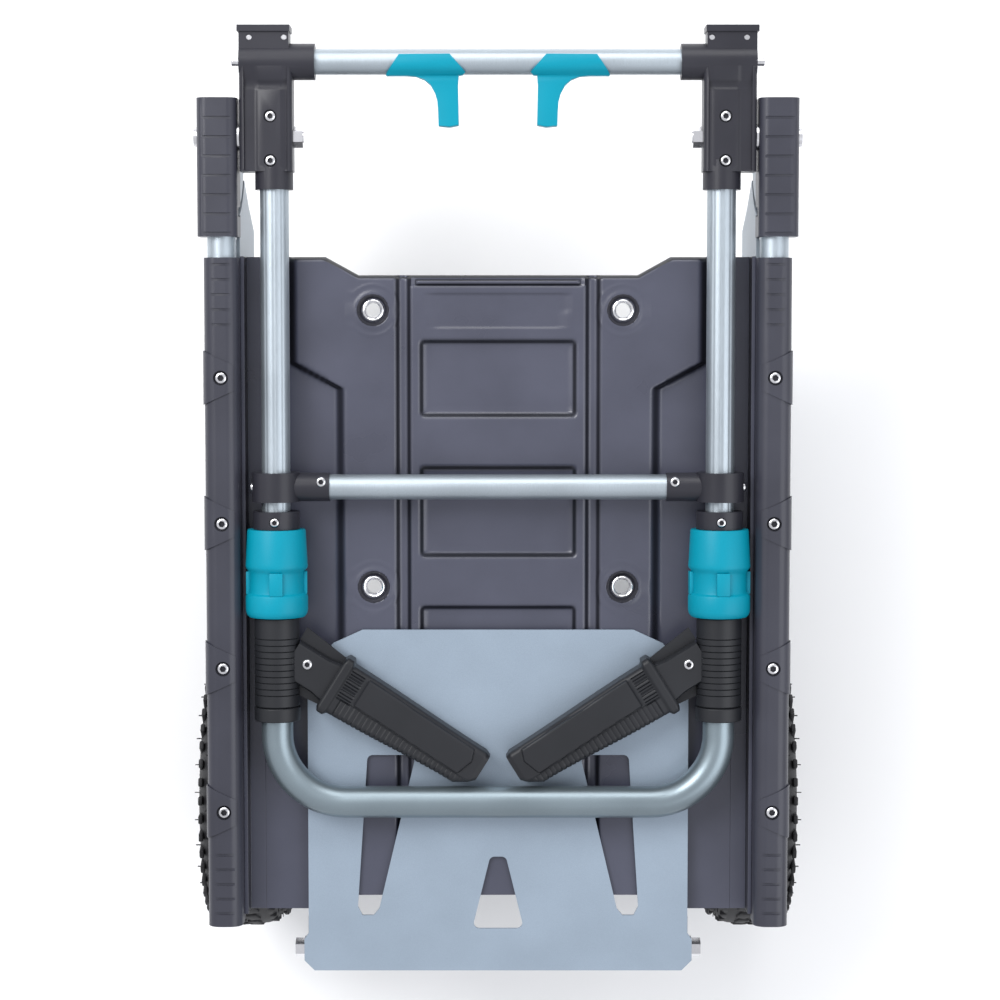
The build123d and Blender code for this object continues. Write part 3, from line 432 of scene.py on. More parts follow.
# %% Mould the deck
rear_blend_y, front_blend_y = 0.150, -0.300
work = bmesh.new()
table = []
for x in xs:
    column = []
    for y in ys:
        if y > rear_blend_y:
            share = (rear_of(x) - rear_blend_y) / (rear_edge - rear_blend_y)
            y = rear_blend_y + (y - rear_blend_y) * share
        elif y < front_blend_y:
            share = (front_of(x) - front_blend_y) / (front_edge - front_blend_y)
            y = front_blend_y + (y - front_blend_y) * share
        column.append(work.verts.new((x, y, deck_height(x, y))))
    table.append(column)
for i in range(len(xs) - 1):
    for j in range(len(ys) - 1):
        quad = (table[i][j], table[i + 1][j], table[i + 1][j + 1], table[i][j + 1])
        centre = sum((v.co for v in quad), Vector()) / 4
        if all((centre.x - ex) ** 2 + (centre.y - ey) ** 2 > eyelet_hole ** 2 for ex, ey in eyelet_spots):
            work.faces.new(quad)
bmesh.ops.delete(work, geom=[v for v in work.verts if not v.link_faces], context="VERTS")
made = bmesh.ops.extrude_face_region(work, geom=work.faces[:])["geom"]
top_verts = {v for v in made if isinstance(v, bmesh.types.BMVert)}
for vert in work.verts:
    if vert not in top_verts:
        vert.co.z = relief_under
bmesh.ops.recalc_face_normals(work, faces=work.faces)
mesh = bpy.data.meshes.new("deck_relief")
work.to_mesh(mesh)
work.free()
smooth(mesh, 50)
keep(placed("deck_relief", mesh), "deck")

cutter_mesh = bpy.data.meshes.new("cutter")
work = bmesh.new()
bmesh.ops.create_cube(work, size=1.0)
for vert in work.verts:
    level = cut_level if vert.co.z < 0 else 0.3200
    vert.co = Vector((vert.co.x * 2 * relief_half_width, vert.co.y * 1.4, level))
work.to_mesh(cutter_mesh)
work.free()
cutter = placed("cutter", cutter_mesh)
soften("deck", 0.0010, cut=cutter)
bpy.data.objects.remove(cutter)
print("deck moulded:", len(mesh.polygons), "faces")

# %% [markdown]
# ## Tubes
#
# The U handle is one tube bent twice, and each upright is drawn with flutes
# that stop it turning in the handle. Both are the same idea: a ring of points
# carried along a path. A wall is made by carrying a second, smaller ring back.
# A tube built this way stays round through the bend.

# %% Rings carried along a path


def skin(name, rings, closed):
    """Closed mesh through rings of points; the last ring joins the first, or both ends are capped."""
    count = len(rings[0])
    verts = [p for ring in rings for p in ring]
    faces = []
    last = len(rings) if closed else len(rings) - 1
    for i in range(last):
        j = (i + 1) % len(rings)
        for k in range(count):
            m = (k + 1) % count
            faces.append((i * count + k, i * count + m, j * count + m, j * count + k))
    if not closed:
        faces.append(tuple(range(count))[::-1])
        faces.append(tuple(range((len(rings) - 1) * count, len(rings) * count)))
    mesh = bpy.data.meshes.new(name)
    mesh.from_pydata([tuple(v) for v in verts], [], faces)
    work = bmesh.new()
    work.from_mesh(mesh)
    bmesh.ops.recalc_face_normals(work, faces=work.faces)
    work.to_mesh(mesh)
    work.free()
    smooth(mesh, 35)
    return placed(name, mesh)


def tube(name, path, outer, inner, sides=64):
    """Hollow tube along a path of points; outer is a radius or a function of the angle."""
    shape = outer if callable(outer) else (lambda angle: outer)
    angles = [2 * pi * k / sides for k in range(sides)]
    up = Vector((0, 0, 1))
    frames = []
    for i, point in enumerate(path):
        ahead = (path[min(i + 1, len(path) - 1)] - path[max(i - 1, 0)]).normalized()
        frames.append((point, ahead.cross(up).normalized()))
    rings = []
    for point, across in frames:
        rings.append([point + (across * cos(a) + up * sin(a)) * shape(a) for a in angles])
    for point, across in reversed(frames):
        rings.append([point + (across * cos(a) + up * sin(a)) * inner for a in angles])
    return skin(name, rings, True)


push_low, push_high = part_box("push_tube")
push_radius = (push_high.z - push_low.z) / 2
leg_x = push_high.x - push_radius
foot_y = push_low.y + push_radius
bend = 0.060
push_wall = 0.0014
path = [Vector((leg_x, push_high.y, rail_z)), Vector((leg_x, foot_y + bend, rail_z))]
path = [path[0].lerp(path[1], i / 12) for i in range(13)]
for i in range(1, 19):
    a = pi / 2 * i / 18
    path.append(Vector((leg_x - bend + bend * cos(a), foot_y + bend - bend * sin(a), rail_z)))
half = list(path)
path += [Vector((x * leg_x, foot_y, rail_z)) for x in (0.3, 0.0, -0.3)]
path += [Vector((-p.x, p.y, p.z)) for p in reversed(half)]
keep(tube("push_tube_drawn", path, push_radius, push_radius - push_wall), "push_tube")

upright_outer, upright_inner, flute_count, flute_depth = 0.0125, 0.0110, 10, 0.00022


def fluted(angle):
    """Tube radius with shallow rounded flutes."""
    wave = max(0.0, cos(flute_count * angle + pi)) ** 2
    return upright_outer - flute_depth * wave


for end in "lr":
    up_low, up_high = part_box("upright_" + end)
    x = (up_low.x + up_high.x) / 2
    spine = [Vector((x, up_low.y + (up_high.y - up_low.y) * i / 8, rail_z)) for i in range(9)]
    keep(tube("upright_drawn_" + end, spine, fluted, upright_inner, 160), "upright_" + end)
print("tubes drawn: push handle and two uprights")

# %% [markdown]
# ## Turned pieces
#
# Tyres, castor treads and twist sleeves are all turned about one axis.
# Each is a profile of (along, radius) points swept once round.
# Short arcs in the profile give the rounded shoulders that a lathe tool
# or a mould would leave, so no separate bevel is needed.

# %% Turning a profile


def turned(name, profile, centre, axis, sides=120):
    """Closed solid of revolution; profile is a closed loop of (along, radius) points."""
    rings = []
    for k in range(sides):
        a = 2 * pi * k / sides
        ring = []
        for along, radius in profile:
            if axis == "x":
                ring.append(centre + Vector((along, radius * cos(a), radius * sin(a))))
            elif axis == "y":
                ring.append(centre + Vector((radius * cos(a), along, radius * sin(a))))
            else:
                ring.append(centre + Vector((radius * cos(a), radius * sin(a), along)))
        rings.append(ring)
    return skin(name, rings, True)


def middle(node):
    """Centre of a node's box."""
    a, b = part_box(node)
    return (a + b) / 2


def tyre_profile(outer, inner, crown, shoulder, bulge, steps):
    """Rounded tyre section from bead to bead."""
    side = []
    for i in range(steps + 1):
        t = pi * i / steps
        radius = inner + (outer - inner) * (1 - cos(t)) / 2
        side.append((shoulder + bulge * sin(t) - (shoulder - crown) * i / steps, radius))
    return side + [(-x, r) for x, r in reversed(side)]


tyre_low, tyre_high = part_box("tyre_r")
tyre_radius = (tyre_high.z - tyre_low.z) / 2
for end in "lr":
    shape = tyre_profile(outer=tyre_radius - 0.0022, inner=tyre_radius * 0.48,
                         crown=0.016, shoulder=0.0280, bulge=0.0168, steps=26)
    keep(turned("tyre_carcass_" + end, shape, middle("tyre_" + end), "x", 180), "tyre_" + end)
    small = tyre_profile(outer=0.0625, inner=0.0485, crown=0.009, shoulder=0.013, bulge=0.003, steps=12)
    tread = turned("castor_tread_" + end, small, middle("castor_tyre_" + end), "x", 96)
    keep(tread, "castor_tyre_" + end)

sleeve_low, sleeve_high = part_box("twist_sleeve_r")
span = sleeve_high.y - sleeve_low.y
widest = (sleeve_high.z - sleeve_low.z) / 2
sleeve_bore = 0.01815
steps = [(0.0, 0.020), (0.0, 0.0240), (0.0008, 0.0250), (0.02, 0.0256)]
steps += [(0.38, widest - 0.0003), (0.42, widest), (0.445, widest - 0.0006), (0.475, 0.0246)]
steps += [(0.50, 0.0240), (0.70, 0.0240), (0.725, 0.0246), (0.745, widest - 0.0006), (0.77, widest)]
steps += [(0.92, widest), (0.96, widest - 0.0006), (0.985, 0.0256), (1.0, 0.0244), (1.0, sleeve_bore)]
for end in "lr":
    loop = [(-(f - 0.5) * span, r) for f, r in steps] + [(0.5 * span, sleeve_bore)]
    keep(turned("sleeve_turned_" + end, loop, middle("twist_sleeve_" + end), "y", 96), "twist_sleeve_" + end)
print("turned: tyres, castor treads, twist sleeves")

# %% [markdown]
# ## Repeats round a ring
#
# Tread blocks, lugs, moulding hairs and sleeve bosses are one shape repeated
# round an axis. One Geometry Nodes group does them all. It puts a block on
# every point of a circle, turns it to face outwards, skews it, and makes it
# real geometry. Count, radius, block size and skew are named inputs, so one
# group serves a tyre row of forty-four blocks and a sleeve with four.

# %% Node group for ring repeats


def group_with(name, inputs):
    """Empty Geometry Nodes group with named inputs, given as (name, kind) pairs."""
    tree = bpy.data.node_groups.new(name, "GeometryNodeTree")
    for label, kind in [("Geometry", "Geometry")] + inputs:
        tree.interface.new_socket(label, in_out="INPUT", socket_type="NodeSocket" + kind)
    tree.interface.new_socket("Geometry", in_out="OUTPUT", socket_type="NodeSocketGeometry")
    return tree


def input_ids(tree):
    """Identifier of each input socket of a group, by its name."""
    return {s.name: s.identifier for s in tree.interface.items_tree if s.in_out == "INPUT"}


def ring_group():
    """Geometry Nodes group: boxes round a circle, facing outwards."""
    tree = group_with("ring_of_blocks", [
        ("Count", "Int"), ("Radius", "Float"), ("Block", "Vector"), ("Skew", "Vector"),
        ("Centre", "Vector"), ("Facing", "Vector"), ("Finish", "Material")])
    add, link = tree.nodes.new, tree.links.new
    given = add("NodeGroupInput")
    result = add("NodeGroupOutput")
    circle = add("GeometryNodeMeshCircle")
    link(given.outputs["Count"], circle.inputs["Vertices"])
    link(given.outputs["Radius"], circle.inputs["Radius"])
    cube = add("GeometryNodeMeshCube")
    link(given.outputs["Block"], cube.inputs["Size"])
    where = add("GeometryNodeInputPosition")
    outward = add("FunctionNodeAlignRotationToVector")
    outward.axis = "X"
    outward.pivot_axis = "Z"
    link(where.outputs["Position"], outward.inputs["Vector"])
    place = add("GeometryNodeInstanceOnPoints")
    link(circle.outputs["Mesh"], place.inputs["Points"])
    link(cube.outputs["Mesh"], place.inputs["Instance"])
    link(outward.outputs["Rotation"], place.inputs["Rotation"])
    lean = add("GeometryNodeRotateInstances")
    link(place.outputs["Instances"], lean.inputs["Instances"])
    link(given.outputs["Skew"], lean.inputs["Rotation"])
    move = add("GeometryNodeTransform")
    link(lean.outputs["Instances"], move.inputs["Geometry"])
    link(given.outputs["Centre"], move.inputs["Translation"])
    link(given.outputs["Facing"], move.inputs["Rotation"])
    real = add("GeometryNodeRealizeInstances")
    link(move.outputs["Geometry"], real.inputs["Geometry"])
    paint = add("GeometryNodeSetMaterial")
    link(real.outputs["Geometry"], paint.inputs["Geometry"])
    link(given.outputs["Finish"], paint.inputs["Material"])
    link(paint.outputs["Geometry"], result.inputs["Geometry"])
    return tree


ring_tree = ring_group()
socket_id = input_ids(ring_tree)
upright_ring = {"X": Matrix.Rotation(pi / 2, 3, "Y"), "Y": Matrix.Rotation(pi / 2, 3, "X")}


def ring_of(name, node, count, radius, block, centre, axis, skew=0.0, phase=0.0, round_off=0.0):
    """Blocks round an axis, riding with the body of a node."""
    obj = placed(name, bpy.data.meshes.new(name))
    maker = obj.modifiers.new("ring", "NODES")
    maker.node_group = ring_tree
    turn = (Matrix.Rotation(phase, 3, axis) @ upright_ring[axis]).to_euler()
    values = {"Count": count, "Radius": radius, "Block": block, "Skew": (skew, 0.0, 0.0),
              "Centre": tuple(centre), "Facing": tuple(turn), "Finish": finishes[slot_of[node]]}
    for label, value in values.items():
        maker[socket_id[label]] = value
    if round_off:
        edge = obj.modifiers.new("edge", "BEVEL")
        edge.width = round_off
        edge.segments = 2
    plain_copy(obj)
    smooth(obj.data, 40)
    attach(obj, body_of[node])
    return obj


# Each tread row has its distance from the middle, start in steps, skew and radius.
rows = [(0.0070, 0.0, 0.35, 0.1258), (0.0215, 0.5, -0.30, 0.1225)]
block_count, block_size, lug_size = 44, (0.0080, 0.0125, 0.0105), (0.0150, 0.0080, 0.0040)
nub_count, nub_size = 30, (0.0060, 0.0005, 0.0005)
whisker_count, whisker_size = 26, (0.0008, 0.0008, 0.0050)
boss_count, boss_size = 4, (0.0036, 0.0116, 0.0200)
rounding = 0.0012
step = 2 * pi / block_count
for end in "lr":
    tyre, hub = "tyre_" + end, middle("tyre_" + end)
    for r, (offset, start, skew, radius) in enumerate(rows):
        for flank, label in ((-1, "in"), (1, "out")):
            phase = step * (start + (0.25 if flank > 0 else 0))
            ring_of("tread_%s_%d_%s" % (end, r, label), tyre, block_count, radius, block_size,
                    hub + Vector((flank * offset, 0, 0)), "X", skew * flank, phase, round_off=rounding)
    for flank, label in ((-1, "in"), (1, "out")):
        ring_of("lug_%s_%s" % (end, label), tyre, block_count, 0.1130, lug_size,
                hub + Vector((flank * 0.0350, 0, 0)), "X", phase=step / 2, round_off=rounding)
        ring_of("nub_%s_%s" % (end, label), tyre, nub_count, 0.1205, nub_size,
                hub + Vector((flank * 0.0300, 0, 0)), "X", skew=0.5 * flank)
        ring_of("whisker_%s_%s" % (end, label), tyre, whisker_count, 0.1040, whisker_size,
                hub + Vector((flank * 0.0393, 0, 0)), "X", phase=0.11)
    ring_of("sleeve_bosses_" + end, "twist_sleeve_" + end, boss_count, widest - 0.0024, boss_size,
            middle("twist_sleeve_" + end) - Vector((0, 0.11 * span, 0)), "Y", phase=0.06,
            round_off=0.0007)
print("tread, lugs, rubber nubs and sleeve bosses added")

# %% [markdown]
# ## Grips
#
# A hand grip is a soft moulding over a stub arm. A round flange meets the arm,
# fine teeth show where the two lock, and a smooth panel stands proud for the
# palm beside a lower, ribbed band for the fingers. It is skinned through many
# cross-sections, so ribs, teeth and panel are small changes of each section.

# %% Skinning the grips
lean = radians(32.0)
grip_start, grip_length, grip_steps = 0.0580, 0.1530, 220
rib_pitch, tooth_pitch = 0.0046, 0.0027
hands = (("l", -1), ("r", 1))


def grip_axes(end, sign):
    """Root on the leg's axis, direction along the grip and direction across it."""
    root = Vector((sign * leg_x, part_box("grip_sleeve_" + end)[1].y - 0.024, rail_z))
    along = Vector((-sign * cos(lean), -sin(lean), 0))
    across = Vector((sign * sin(lean), -cos(lean), 0))
    return root, along, across


def rounded_outline(sides, wide, thick, corner):
    """Evenly spaced points round a rectangle with rounded corners, anticlockwise from its right side."""
    runs = []
    for turn, half_x, half_y in ((0, wide, thick), (1, thick, wide), (2, wide, thick), (3, thick, wide)):
        runs.append((turn, half_x, half_y, 2 * (half_y - corner)))
    total = sum(run[3] for run in runs) + 2 * pi * corner
    points = []
    for k in range(sides):
        s = total * k / sides
        for turn, half_x, half_y, straight in runs:
            if s < straight + pi / 2 * corner:
                break
            s -= straight + pi / 2 * corner
        if s < straight:
            x, y = half_x, s - straight / 2
        else:
            a = (s - straight) / corner
            x, y = half_x - corner + corner * cos(a), half_y - corner + corner * sin(a)
        for _ in range(turn):
            x, y = -y, x
        points.append((x, y))
    return points


def grip_section(t, sides=200):
    """Outline of the grip at a distance t from the leg axis, as (across, up) points."""
    upper = -0.0205 + 0.0035 * ramp_between(t, 0.07, 0.21)
    lower = 0.0275 - 0.0060 * ramp_between(t, 0.070, 0.195)
    lower -= 0.0100 * max(0.0, (t - 0.1945) / 0.0165)
    flange = 1 - ramp_between(t, 0.0655, 0.0690)
    upper -= 0.0040 * flange
    lower += 0.0030 * flange
    thick = 0.0142 - 0.0008 * ramp_between(t, 0.08, 0.21) + 0.0022 * flange
    round_root = sin(pi / 2 * min(1.0, 0.35 + (t - 0.0580) / 0.0045))
    round_tip = 1.0 - 0.12 * ramp_between(t, 0.2060, 0.2110)
    wide = (lower - upper) / 2 * (0.72 + 0.28 * round_root) * round_tip
    thick *= (0.72 + 0.28 * round_root) * round_tip
    shift = (lower + upper) / 2
    points = []
    for u, up in rounded_outline(sides, wide, thick, 0.0052):
        across = shift + u
        if t > 0.0690:
            edge = 0.0085 + 0.0025 * ramp_between(t, 0.08, 0.20)
            vee = 0.1985 - 0.35 * abs(across + 0.004)
            inside = ramp_between(t, 0.0840, 0.0865) * (1 - ramp_between(t, vee, vee + 0.002))
            inside *= 1 - ramp_between(across, edge, edge + 0.0012)
            inside *= ramp_between(across, upper + 0.0018, upper + 0.0034)
            rim = 4 * inside * (1 - inside)
            step = 0.0019 * inside - 0.0011 * rim
            fingers = ramp_between(across, edge + 0.0012, edge + 0.0024) * ramp_between(t, 0.0725, 0.0740)
            ribs = max(0.0, cos(2 * pi * t / rib_pitch)) ** 3
            teeth = 1 - ramp_between(t, 0.0815, 0.0825)
            teeth *= 1 - ramp_between(abs(across + 0.003), 0.0140, 0.0150)
            teeth *= max(0.0, cos(2 * pi * across / tooth_pitch))
            lift = step - fingers * (0.0012 + 0.0006 * ribs) - 0.0012 * teeth
            up += lift if up > 0 else -lift
            if u > wide - 0.0030:
                across -= 0.0007 * ribs * (1 - ramp_between(t, 0.188, 0.194)) * ramp_between(t, 0.080, 0.084)
        points.append((across, up))
    return points


for end, sign in hands:
    root, along, across = grip_axes(end, sign)
    rings = []
    for i in range(grip_steps + 1):
        t = grip_start + grip_length * i / grip_steps
        rings.append([root + along * t + across * u + Vector((0, 0, w)) for u, w in grip_section(t)])
    keep(skin("grip_moulded_" + end, rings, False), "grip_" + end)
print("grips skinned")

# %% [markdown]
# ## Grip sleeves and stub arms
#
# The sleeve that turns on the handle leg has fine rings for the fingers.
# A stub arm grows out of it towards the grip, braced by a thin web on each
# side. Sleeve, arm and webs are three closed skins in one piece.

# %% Sleeve, arm and webs


def join(name, parts):
    """One object from several, each keeping its own closed surface."""
    work = bmesh.new()
    for part in parts:
        work.from_mesh(part.data)
        bpy.data.objects.remove(part)
    mesh = bpy.data.meshes.new(name)
    work.to_mesh(mesh)
    work.free()
    smooth(mesh, 35)
    return placed(name, mesh)


def ring_profile(length, outer, inner, first, last, pitch, deep):
    """Sleeve profile from +length/2 down to -length/2 with fine V grooves between two distances."""
    top = length / 2
    loop = [(top, inner), (top, outer - 0.0012), (top - 0.0012, outer)]
    d = first
    while d < last:
        loop += [(top - d, outer), (top - d - 0.0005, outer - deep), (top - d - 0.0010, outer)]
        d += pitch
    return loop + [(-top + 0.0012, outer), (-top, outer - 0.0012), (-top, inner)]


for end, sign in hands:
    low_s, high_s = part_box("grip_sleeve_" + end)
    axis_mid = Vector((sign * leg_x, (low_s.y + high_s.y) / 2, rail_z))
    outer = (high_s.z - low_s.z) / 2
    ringed = ring_profile(high_s.y - low_s.y, outer, inner=0.0143, first=0.018, last=0.068,
                          pitch=0.0055, deep=0.0009)
    body = turned("a", ringed, axis_mid, "y", 96)
    root, along, across = grip_axes(end, sign)
    rings = []
    for i in range(21):
        t = 0.0165 + 0.0435 * i / 20
        wide = 0.0172 + 0.0022 * ramp_between(t, 0.045, 0.060)
        ring = []
        for k in range(48):
            a = 2 * pi * k / 48
            u = abs(cos(a)) ** 0.6 * (1 if cos(a) >= 0 else -1)
            w = abs(sin(a)) ** 0.6 * (1 if sin(a) >= 0 else -1)
            up = min(w * 0.0150, 0.0113) if w > 0 else w * 0.0135
            ring.append(root + along * t + across * (u * wide + 0.003) + Vector((0, 0, up)))
        rings.append(ring)
    arm = skin("b", rings, False)
    webs = []
    for side, spread in ((-1, 0.0215), (1, 0.0265)):
        corners = [(0.0150, side * 0.014), (0.0150, side * (spread + 0.005)),
                   (0.0585, side * spread), (0.0585, side * 0.014)]
        faces = []
        for up in (-0.0011, 0.0011):
            faces.append([root + along * t + across * u + Vector((0, 0, up)) for t, u in corners])
        webs.append(skin("c", faces, False))
    keep(join("grip_sleeve_ringed_" + end, [body, arm] + webs), "grip_sleeve_" + end)
print("grip sleeves ringed, arms webbed")

# %% [markdown]
# ## Screw heads
#
# Small button screws hold the covers, castings and arms.
# One head is turned with a hexagon socket sunk in it. A Geometry Nodes group
# then stands a copy on every point of a small cloud, faces it along the
# screw's own axis and scales it to the screw. Position, direction and size
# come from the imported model, so no screw can sit beside its hole.

# %% One head with a hexagon socket


def islands(node):
    """Lowest and highest corner of each separate solid in a node."""
    work = bmesh.new()
    work.from_mesh(frame["nodes"][node].data)
    bmesh.ops.remove_doubles(work, verts=work.verts, dist=0.00001)
    left = set(work.verts)
    found = []
    while left:
        heap = [left.pop()]
        group = []
        while heap:
            vert = heap.pop()
            group.append(vert.co.copy())
            for edge in vert.link_edges:
                other = edge.other_vert(vert)
                if other in left:
                    left.remove(other)
                    heap.append(other)
        found.append((Vector([min(p[i] for p in group) for i in range(3)]),
                      Vector([max(p[i] for p in group) for i in range(3)])))
    work.free()
    return sorted(found, key=lambda pair: tuple(round(c, 5) for c in pair[0]))


def head_mesh():
    """Button head of unit radius, its top at z = 0, with a hexagon socket."""
    angles = [2 * pi * k / 36 for k in range(36)]
    dome = [(1.0, -0.85), (1.0, -0.50), (0.94, -0.26), (0.80, -0.08), (0.62, 0.0)]
    rings = [[Vector((r * cos(a), r * sin(a), z)) for a in angles] for r, z in dome]
    for r, z in ((0.50, 0.0), (0.46, -0.05), (0.46, -0.42)):
        ring = []
        for a in angles:
            reach = r * cos(pi / 6) / cos(a % (pi / 3) - pi / 6)
            ring.append(Vector((reach * cos(a), reach * sin(a), z)))
        rings.append(ring)
    made = skin("screw_head", rings, False)
    # Faces deep in the socket are marked; they are later painted dark, as painted shade inside a zinc
    # socket.
    mark = made.data.attributes.new("socket", "BOOLEAN", "FACE")
    sunk = [f.center.z < -0.10 and f.center.xy.length < 0.5 for f in made.data.polygons]
    mark.data.foreach_set("value", sunk)
    return made


head = head_mesh()


def screw_group():
    """Geometry Nodes group: a head on every point, along its facing, at its size, with its sunk socket
    painted dark as shade.
    """
    tree = group_with("heads_on_points", [
        ("Head", "Object"), ("Turn", "Float"), ("Seed", "Int"), ("Finish", "Material"),
        ("Socket painted shade", "Material")])
    add, link = tree.nodes.new, tree.links.new
    given, result = add("NodeGroupInput"), add("NodeGroupOutput")
    shape = add("GeometryNodeObjectInfo")
    link(given.outputs["Head"], shape.inputs["Object"])
    facing = add("GeometryNodeInputNamedAttribute")
    facing.data_type = "FLOAT_VECTOR"
    facing.inputs["Name"].default_value = "facing"
    size = add("GeometryNodeInputNamedAttribute")
    size.data_type = "FLOAT"
    size.inputs["Name"].default_value = "size"
    aim = add("FunctionNodeAlignRotationToVector")
    aim.axis = "Z"
    link(facing.outputs["Attribute"], aim.inputs["Vector"])
    place = add("GeometryNodeInstanceOnPoints")
    link(given.outputs["Geometry"], place.inputs["Points"])
    link(shape.outputs["Geometry"], place.inputs["Instance"])
    link(aim.outputs["Rotation"], place.inputs["Rotation"])
    link(size.outputs["Attribute"], place.inputs["Scale"])
    chance = add("FunctionNodeRandomValue")
    chance.data_type = "FLOAT"
    link(given.outputs["Turn"], chance.inputs[3])
    link(given.outputs["Seed"], chance.inputs["Seed"])
    spin = add("ShaderNodeCombineXYZ")
    link(chance.outputs[1], spin.inputs["Z"])
    turn = add("GeometryNodeRotateInstances")
    link(place.outputs["Instances"], turn.inputs["Instances"])
    link(spin.outputs["Vector"], turn.inputs["Rotation"])
    real = add("GeometryNodeRealizeInstances")
    link(turn.outputs["Instances"], real.inputs["Geometry"])
    paint = add("GeometryNodeSetMaterial")
    link(real.outputs["Geometry"], paint.inputs["Geometry"])
    link(given.outputs["Finish"], paint.inputs["Material"])
    # Painted shade: the marked socket faces take a dark plastic colour in place of the shadow inside the
    # socket.
    mark = add("GeometryNodeInputNamedAttribute")
    mark.data_type = "BOOLEAN"
    mark.inputs["Name"].default_value = "socket"
    shade = add("GeometryNodeSetMaterial")
    link(paint.outputs["Geometry"], shade.inputs["Geometry"])
    link(mark.outputs["Attribute"], shade.inputs["Selection"])
    link(given.outputs["Socket painted shade"], shade.inputs["Material"])
    link(shade.outputs["Geometry"], result.inputs["Geometry"])
    return tree


screw_tree = screw_group()
screw_socket = input_ids(screw_tree)
print("screw head and node group ready")

# %% [markdown]
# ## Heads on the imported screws
#
# Each screw node holds several solids. A solid that looks up gets a head on
# its top, one that looks sideways gets a head on its outer side, and a long
# thin one is a plain pin.

# %% Place the heads
long_pin = 0.015


def screws(name, node, seed):
    """Heads on the solids of a node; long thin solids along Z become plain pins instead."""
    spots, pins = [], []
    for a, b in islands(node):
        centre, size = (a + b) / 2, b - a
        if size.z > long_pin:
            half, radius = size.z / 2, size.x / 2
            rim = [(half, 0.0), (half, 0.8 * radius), (half - 0.0004, radius)]
            profile = [(-z, r) for z, r in rim] + rim[::-1]
            pins.append(turned("pin", profile, centre, "z", 32))
        elif abs(size.y - size.x) < 0.0005:
            spots.append((Vector((centre.x, centre.y, b.z)), Vector((0, 0, 1)), size.x * 0.55))
        else:
            way = 1 if centre.x > 0 else -1
            outside = Vector((b.x if way > 0 else a.x, centre.y, centre.z))
            spots.append((outside, Vector((way, 0, 0)), size.y / 2))
    cloud = bpy.data.meshes.new(name)
    cloud.from_pydata([tuple(p) for p, _, _ in spots], [], [])
    facing = cloud.attributes.new("facing", "FLOAT_VECTOR", "POINT")
    facing.data.foreach_set("vector", [c for _, f, _ in spots for c in f])
    sizes = cloud.attributes.new("size", "FLOAT", "POINT")
    sizes.data.foreach_set("value", [r for _, _, r in spots])
    obj = placed(name, cloud)
    maker = obj.modifiers.new("heads", "NODES")
    maker.node_group = screw_tree
    # The socket faces take the dark joint plastic as painted shade.
    given = {"Head": head, "Turn": 2 * pi, "Seed": seed, "Finish": finishes["zinc"],
             "Socket painted shade": finishes["joint_plastic"]}
    for label, value in given.items():
        maker[screw_socket[label]] = value
    plain_copy(obj)
    smooth(obj.data, 35)
    stand_for(obj, node)
    if pins:
        keep(join(name + "_pins", pins), node)


for seed, node in enumerate(("rail_screws", "frame_screws", "core_screws", "grip_screw_l", "grip_screw_r")):
    screws(node + "_heads", node, seed)
bpy.data.objects.remove(head)
print("screw heads placed")

# %% [markdown]
# ## Tie-down eyelets
#
# Four eyelets line holes through the deck. Each is a pressed funnel with a
# rolled lip. A dark ring seats it, so that a strap hook has a smooth edge.

# %% Eyelets
funnel = [(-0.0055, 0.00625), (-0.0055, 0.0071), (0.0038, 0.0073), (0.0044, 0.0082),
          (0.0049, 0.0090), (0.0055, 0.0092), (0.0058, 0.0086), (0.0055, 0.0078),
          (0.0045, 0.0068), (0.0030, 0.00625)]
seat = [(0.0, 0.0092), (0.0, 0.0142), (0.0070, 0.0142), (0.0076, 0.0138),
        (0.0076, 0.0130), (0.0062, 0.0118), (0.0040, 0.0104), (0.0036, 0.0092)]
spots = [(a + b) / 2 for a, b in islands("eyelets")]
keep(join("eyelet_funnels", [turned("f", funnel, spot, "z", 48) for spot in spots]), "eyelets")
seats = join("eyelet_seats", [turned("s", seat, spot, "z", 48) for spot in spots])
seats.data.materials.append(finishes["joint_plastic"])
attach(seats, body_of["eyelets"])
print("eyelets:", len(spots))

# %% [markdown]
# ## Release triggers
#
# A finger pulls each hook to free the handle. Its top wraps round the cross
# bar and its tail hangs below it. The outline is drawn flat, sliced into
# narrow strips, and each strip is lifted to follow the round of the bar.

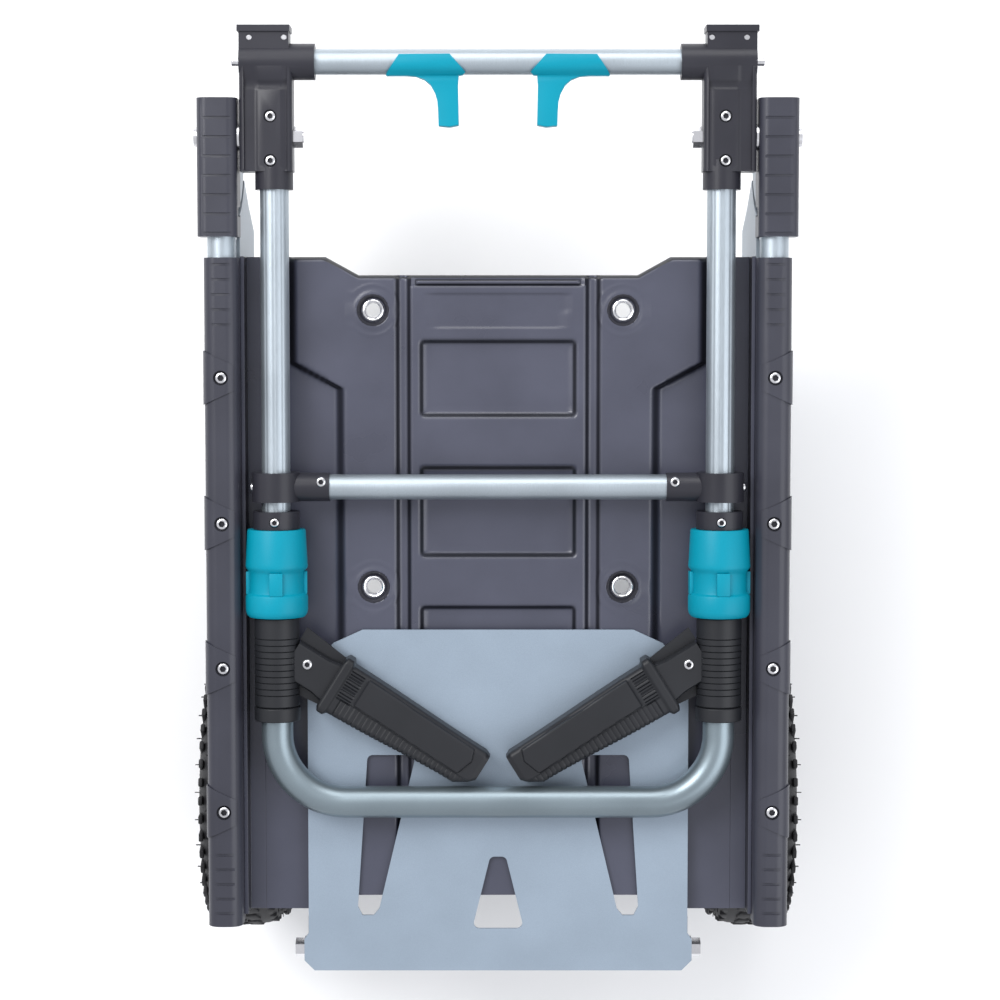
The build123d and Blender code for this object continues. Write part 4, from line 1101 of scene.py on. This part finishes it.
# %% Trigger hooks
outline = [(0.0, 0.275), (0.165, 0.005), (0.80, 0.0), (1.0, 0.25), (0.965, 0.285), (0.915, 0.29),
           (0.905, 0.42), (0.915, 0.975), (0.80, 1.0), (0.66, 0.985), (0.655, 0.80), (0.645, 0.65),
           (0.615, 0.53), (0.56, 0.42), (0.48, 0.345), (0.38, 0.305), (0.26, 0.295), (0.0, 0.295)]
strips, tail_half = 44, 0.0068
bar_low, bar_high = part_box("cross_bar")
bar_mid = (bar_low + bar_high) / 2
bar_radius = (bar_high.z - bar_low.z) / 2
for end, sign in hands:
    low_t, high_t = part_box("trigger_" + end)
    size = high_t - low_t
    work = bmesh.new()
    corners = []
    for u, v in outline:
        x = low_t.x + u * size.x if sign < 0 else high_t.x - u * size.x
        corners.append(work.verts.new((x, high_t.y - v * size.y, 0)))
    work.faces.new(corners)
    for i in range(1, strips):
        slice_at(work, (0, high_t.y - size.y * i / strips, 0), (0, 1, 0))
    made = bmesh.ops.extrude_face_region(work, geom=work.faces[:])["geom"]
    upper = {v for v in made if isinstance(v, bmesh.types.BMVert)}
    for vert in work.verts:
        off = min(abs(vert.co.y - bar_mid.y), bar_radius + 0.0021)
        round_top = ((bar_radius + 0.0024) ** 2 - off ** 2) ** 0.5
        below = ramp_between(bar_mid.y - vert.co.y, bar_radius - 0.004, bar_radius + 0.006)
        if vert in upper:
            vert.co.z = bar_mid.z + round_top * (1 - below) + tail_half * below
        else:
            vert.co.z = bar_mid.z + (bar_radius * 0.2) * (1 - below) - tail_half * below
    bmesh.ops.recalc_face_normals(work, faces=work.faces)
    mesh = bpy.data.meshes.new("trigger_hook_" + end)
    work.to_mesh(mesh)
    work.free()
    mesh.shade_smooth()
    hook = placed("trigger_hook_" + end, mesh)
    edge = hook.modifiers.new("edge", "BEVEL")
    edge.width = 0.0013
    edge.segments = 3
    edge.limit_method = "ANGLE"
    edge.angle_limit = radians(50)
    plain_copy(hook)
    smooth(hook.data, 40)
    keep(hook, "trigger_" + end)
print("trigger hooks made")

# %% [markdown]
# ## Floor, light and camera
#
# A pale floor, a broad soft light from the upper left and weaker fill from
# the right show form without hard glare. The camera looks almost straight
# down from the handle end, as the cart would be seen lying at one's feet.

# %% Stage
pale = bpy.data.materials.new("pale_floor")
pale.use_nodes = True
pale_shader = pale.node_tree.nodes["Principled BSDF"]
pale_shader.inputs["Base Color"].default_value = (0.93, 0.93, 0.93, 1)
pale_shader.inputs["Roughness"].default_value = 0.9
bpy.ops.mesh.primitive_plane_add(size=80, location=(0, 0, 0))
floor = bpy.context.object
floor.name = "floor"
floor.data.materials.append(pale)


def lamp(name, at, aim, size, power, colour=(1, 1, 1)):
    """Square soft light pointing at a spot."""
    data = bpy.data.lights.new(name, "AREA")
    data.shape = "SQUARE"
    data.size = size
    data.energy = power
    data.color = colour
    obj = bpy.data.objects.new(name, data)
    bpy.context.scene.collection.objects.link(obj)
    obj.location = at
    obj.rotation_euler = (Vector(aim) - Vector(at)).to_track_quat("-Z", "Y").to_euler()


lamp("key", (-1.6, 1.4, 2.6), (0, 0, 0.2), 1.6, 75)
lamp("fill", (1.8, -0.6, 2.2), (0, 0, 0.2), 2.0, 28, (0.95, 0.97, 1.0))
lamp("rear", (0.2, 2.2, 1.6), (0, 0, 0.3), 1.4, 22)
world = bpy.data.worlds.new("studio")
world.use_nodes = True
world.node_tree.nodes["Background"].inputs["Color"].default_value = (0.95, 0.96, 1.0, 1)
world.node_tree.nodes["Background"].inputs["Strength"].default_value = 0.80
bpy.context.scene.world = world
bpy.context.scene.view_settings.view_transform = "Standard"

lens = bpy.data.cameras.new("camera")
lens.lens = 90
lens.sensor_width = 36
lens.clip_end = 50
camera = bpy.data.objects.new("camera", lens)
bpy.context.scene.collection.objects.link(camera)
tilt = radians(4.1)
reach = 2.1875
target = Vector((0.00175, 0.0065, 0.300))
camera.location = target + Vector((0, sin(tilt), cos(tilt))) * reach
camera.rotation_euler = (-tilt, 0, 0)
bpy.context.scene.camera = camera
print("stage set: floor, 3 lights, camera at", [round(c, 3) for c in camera.location])
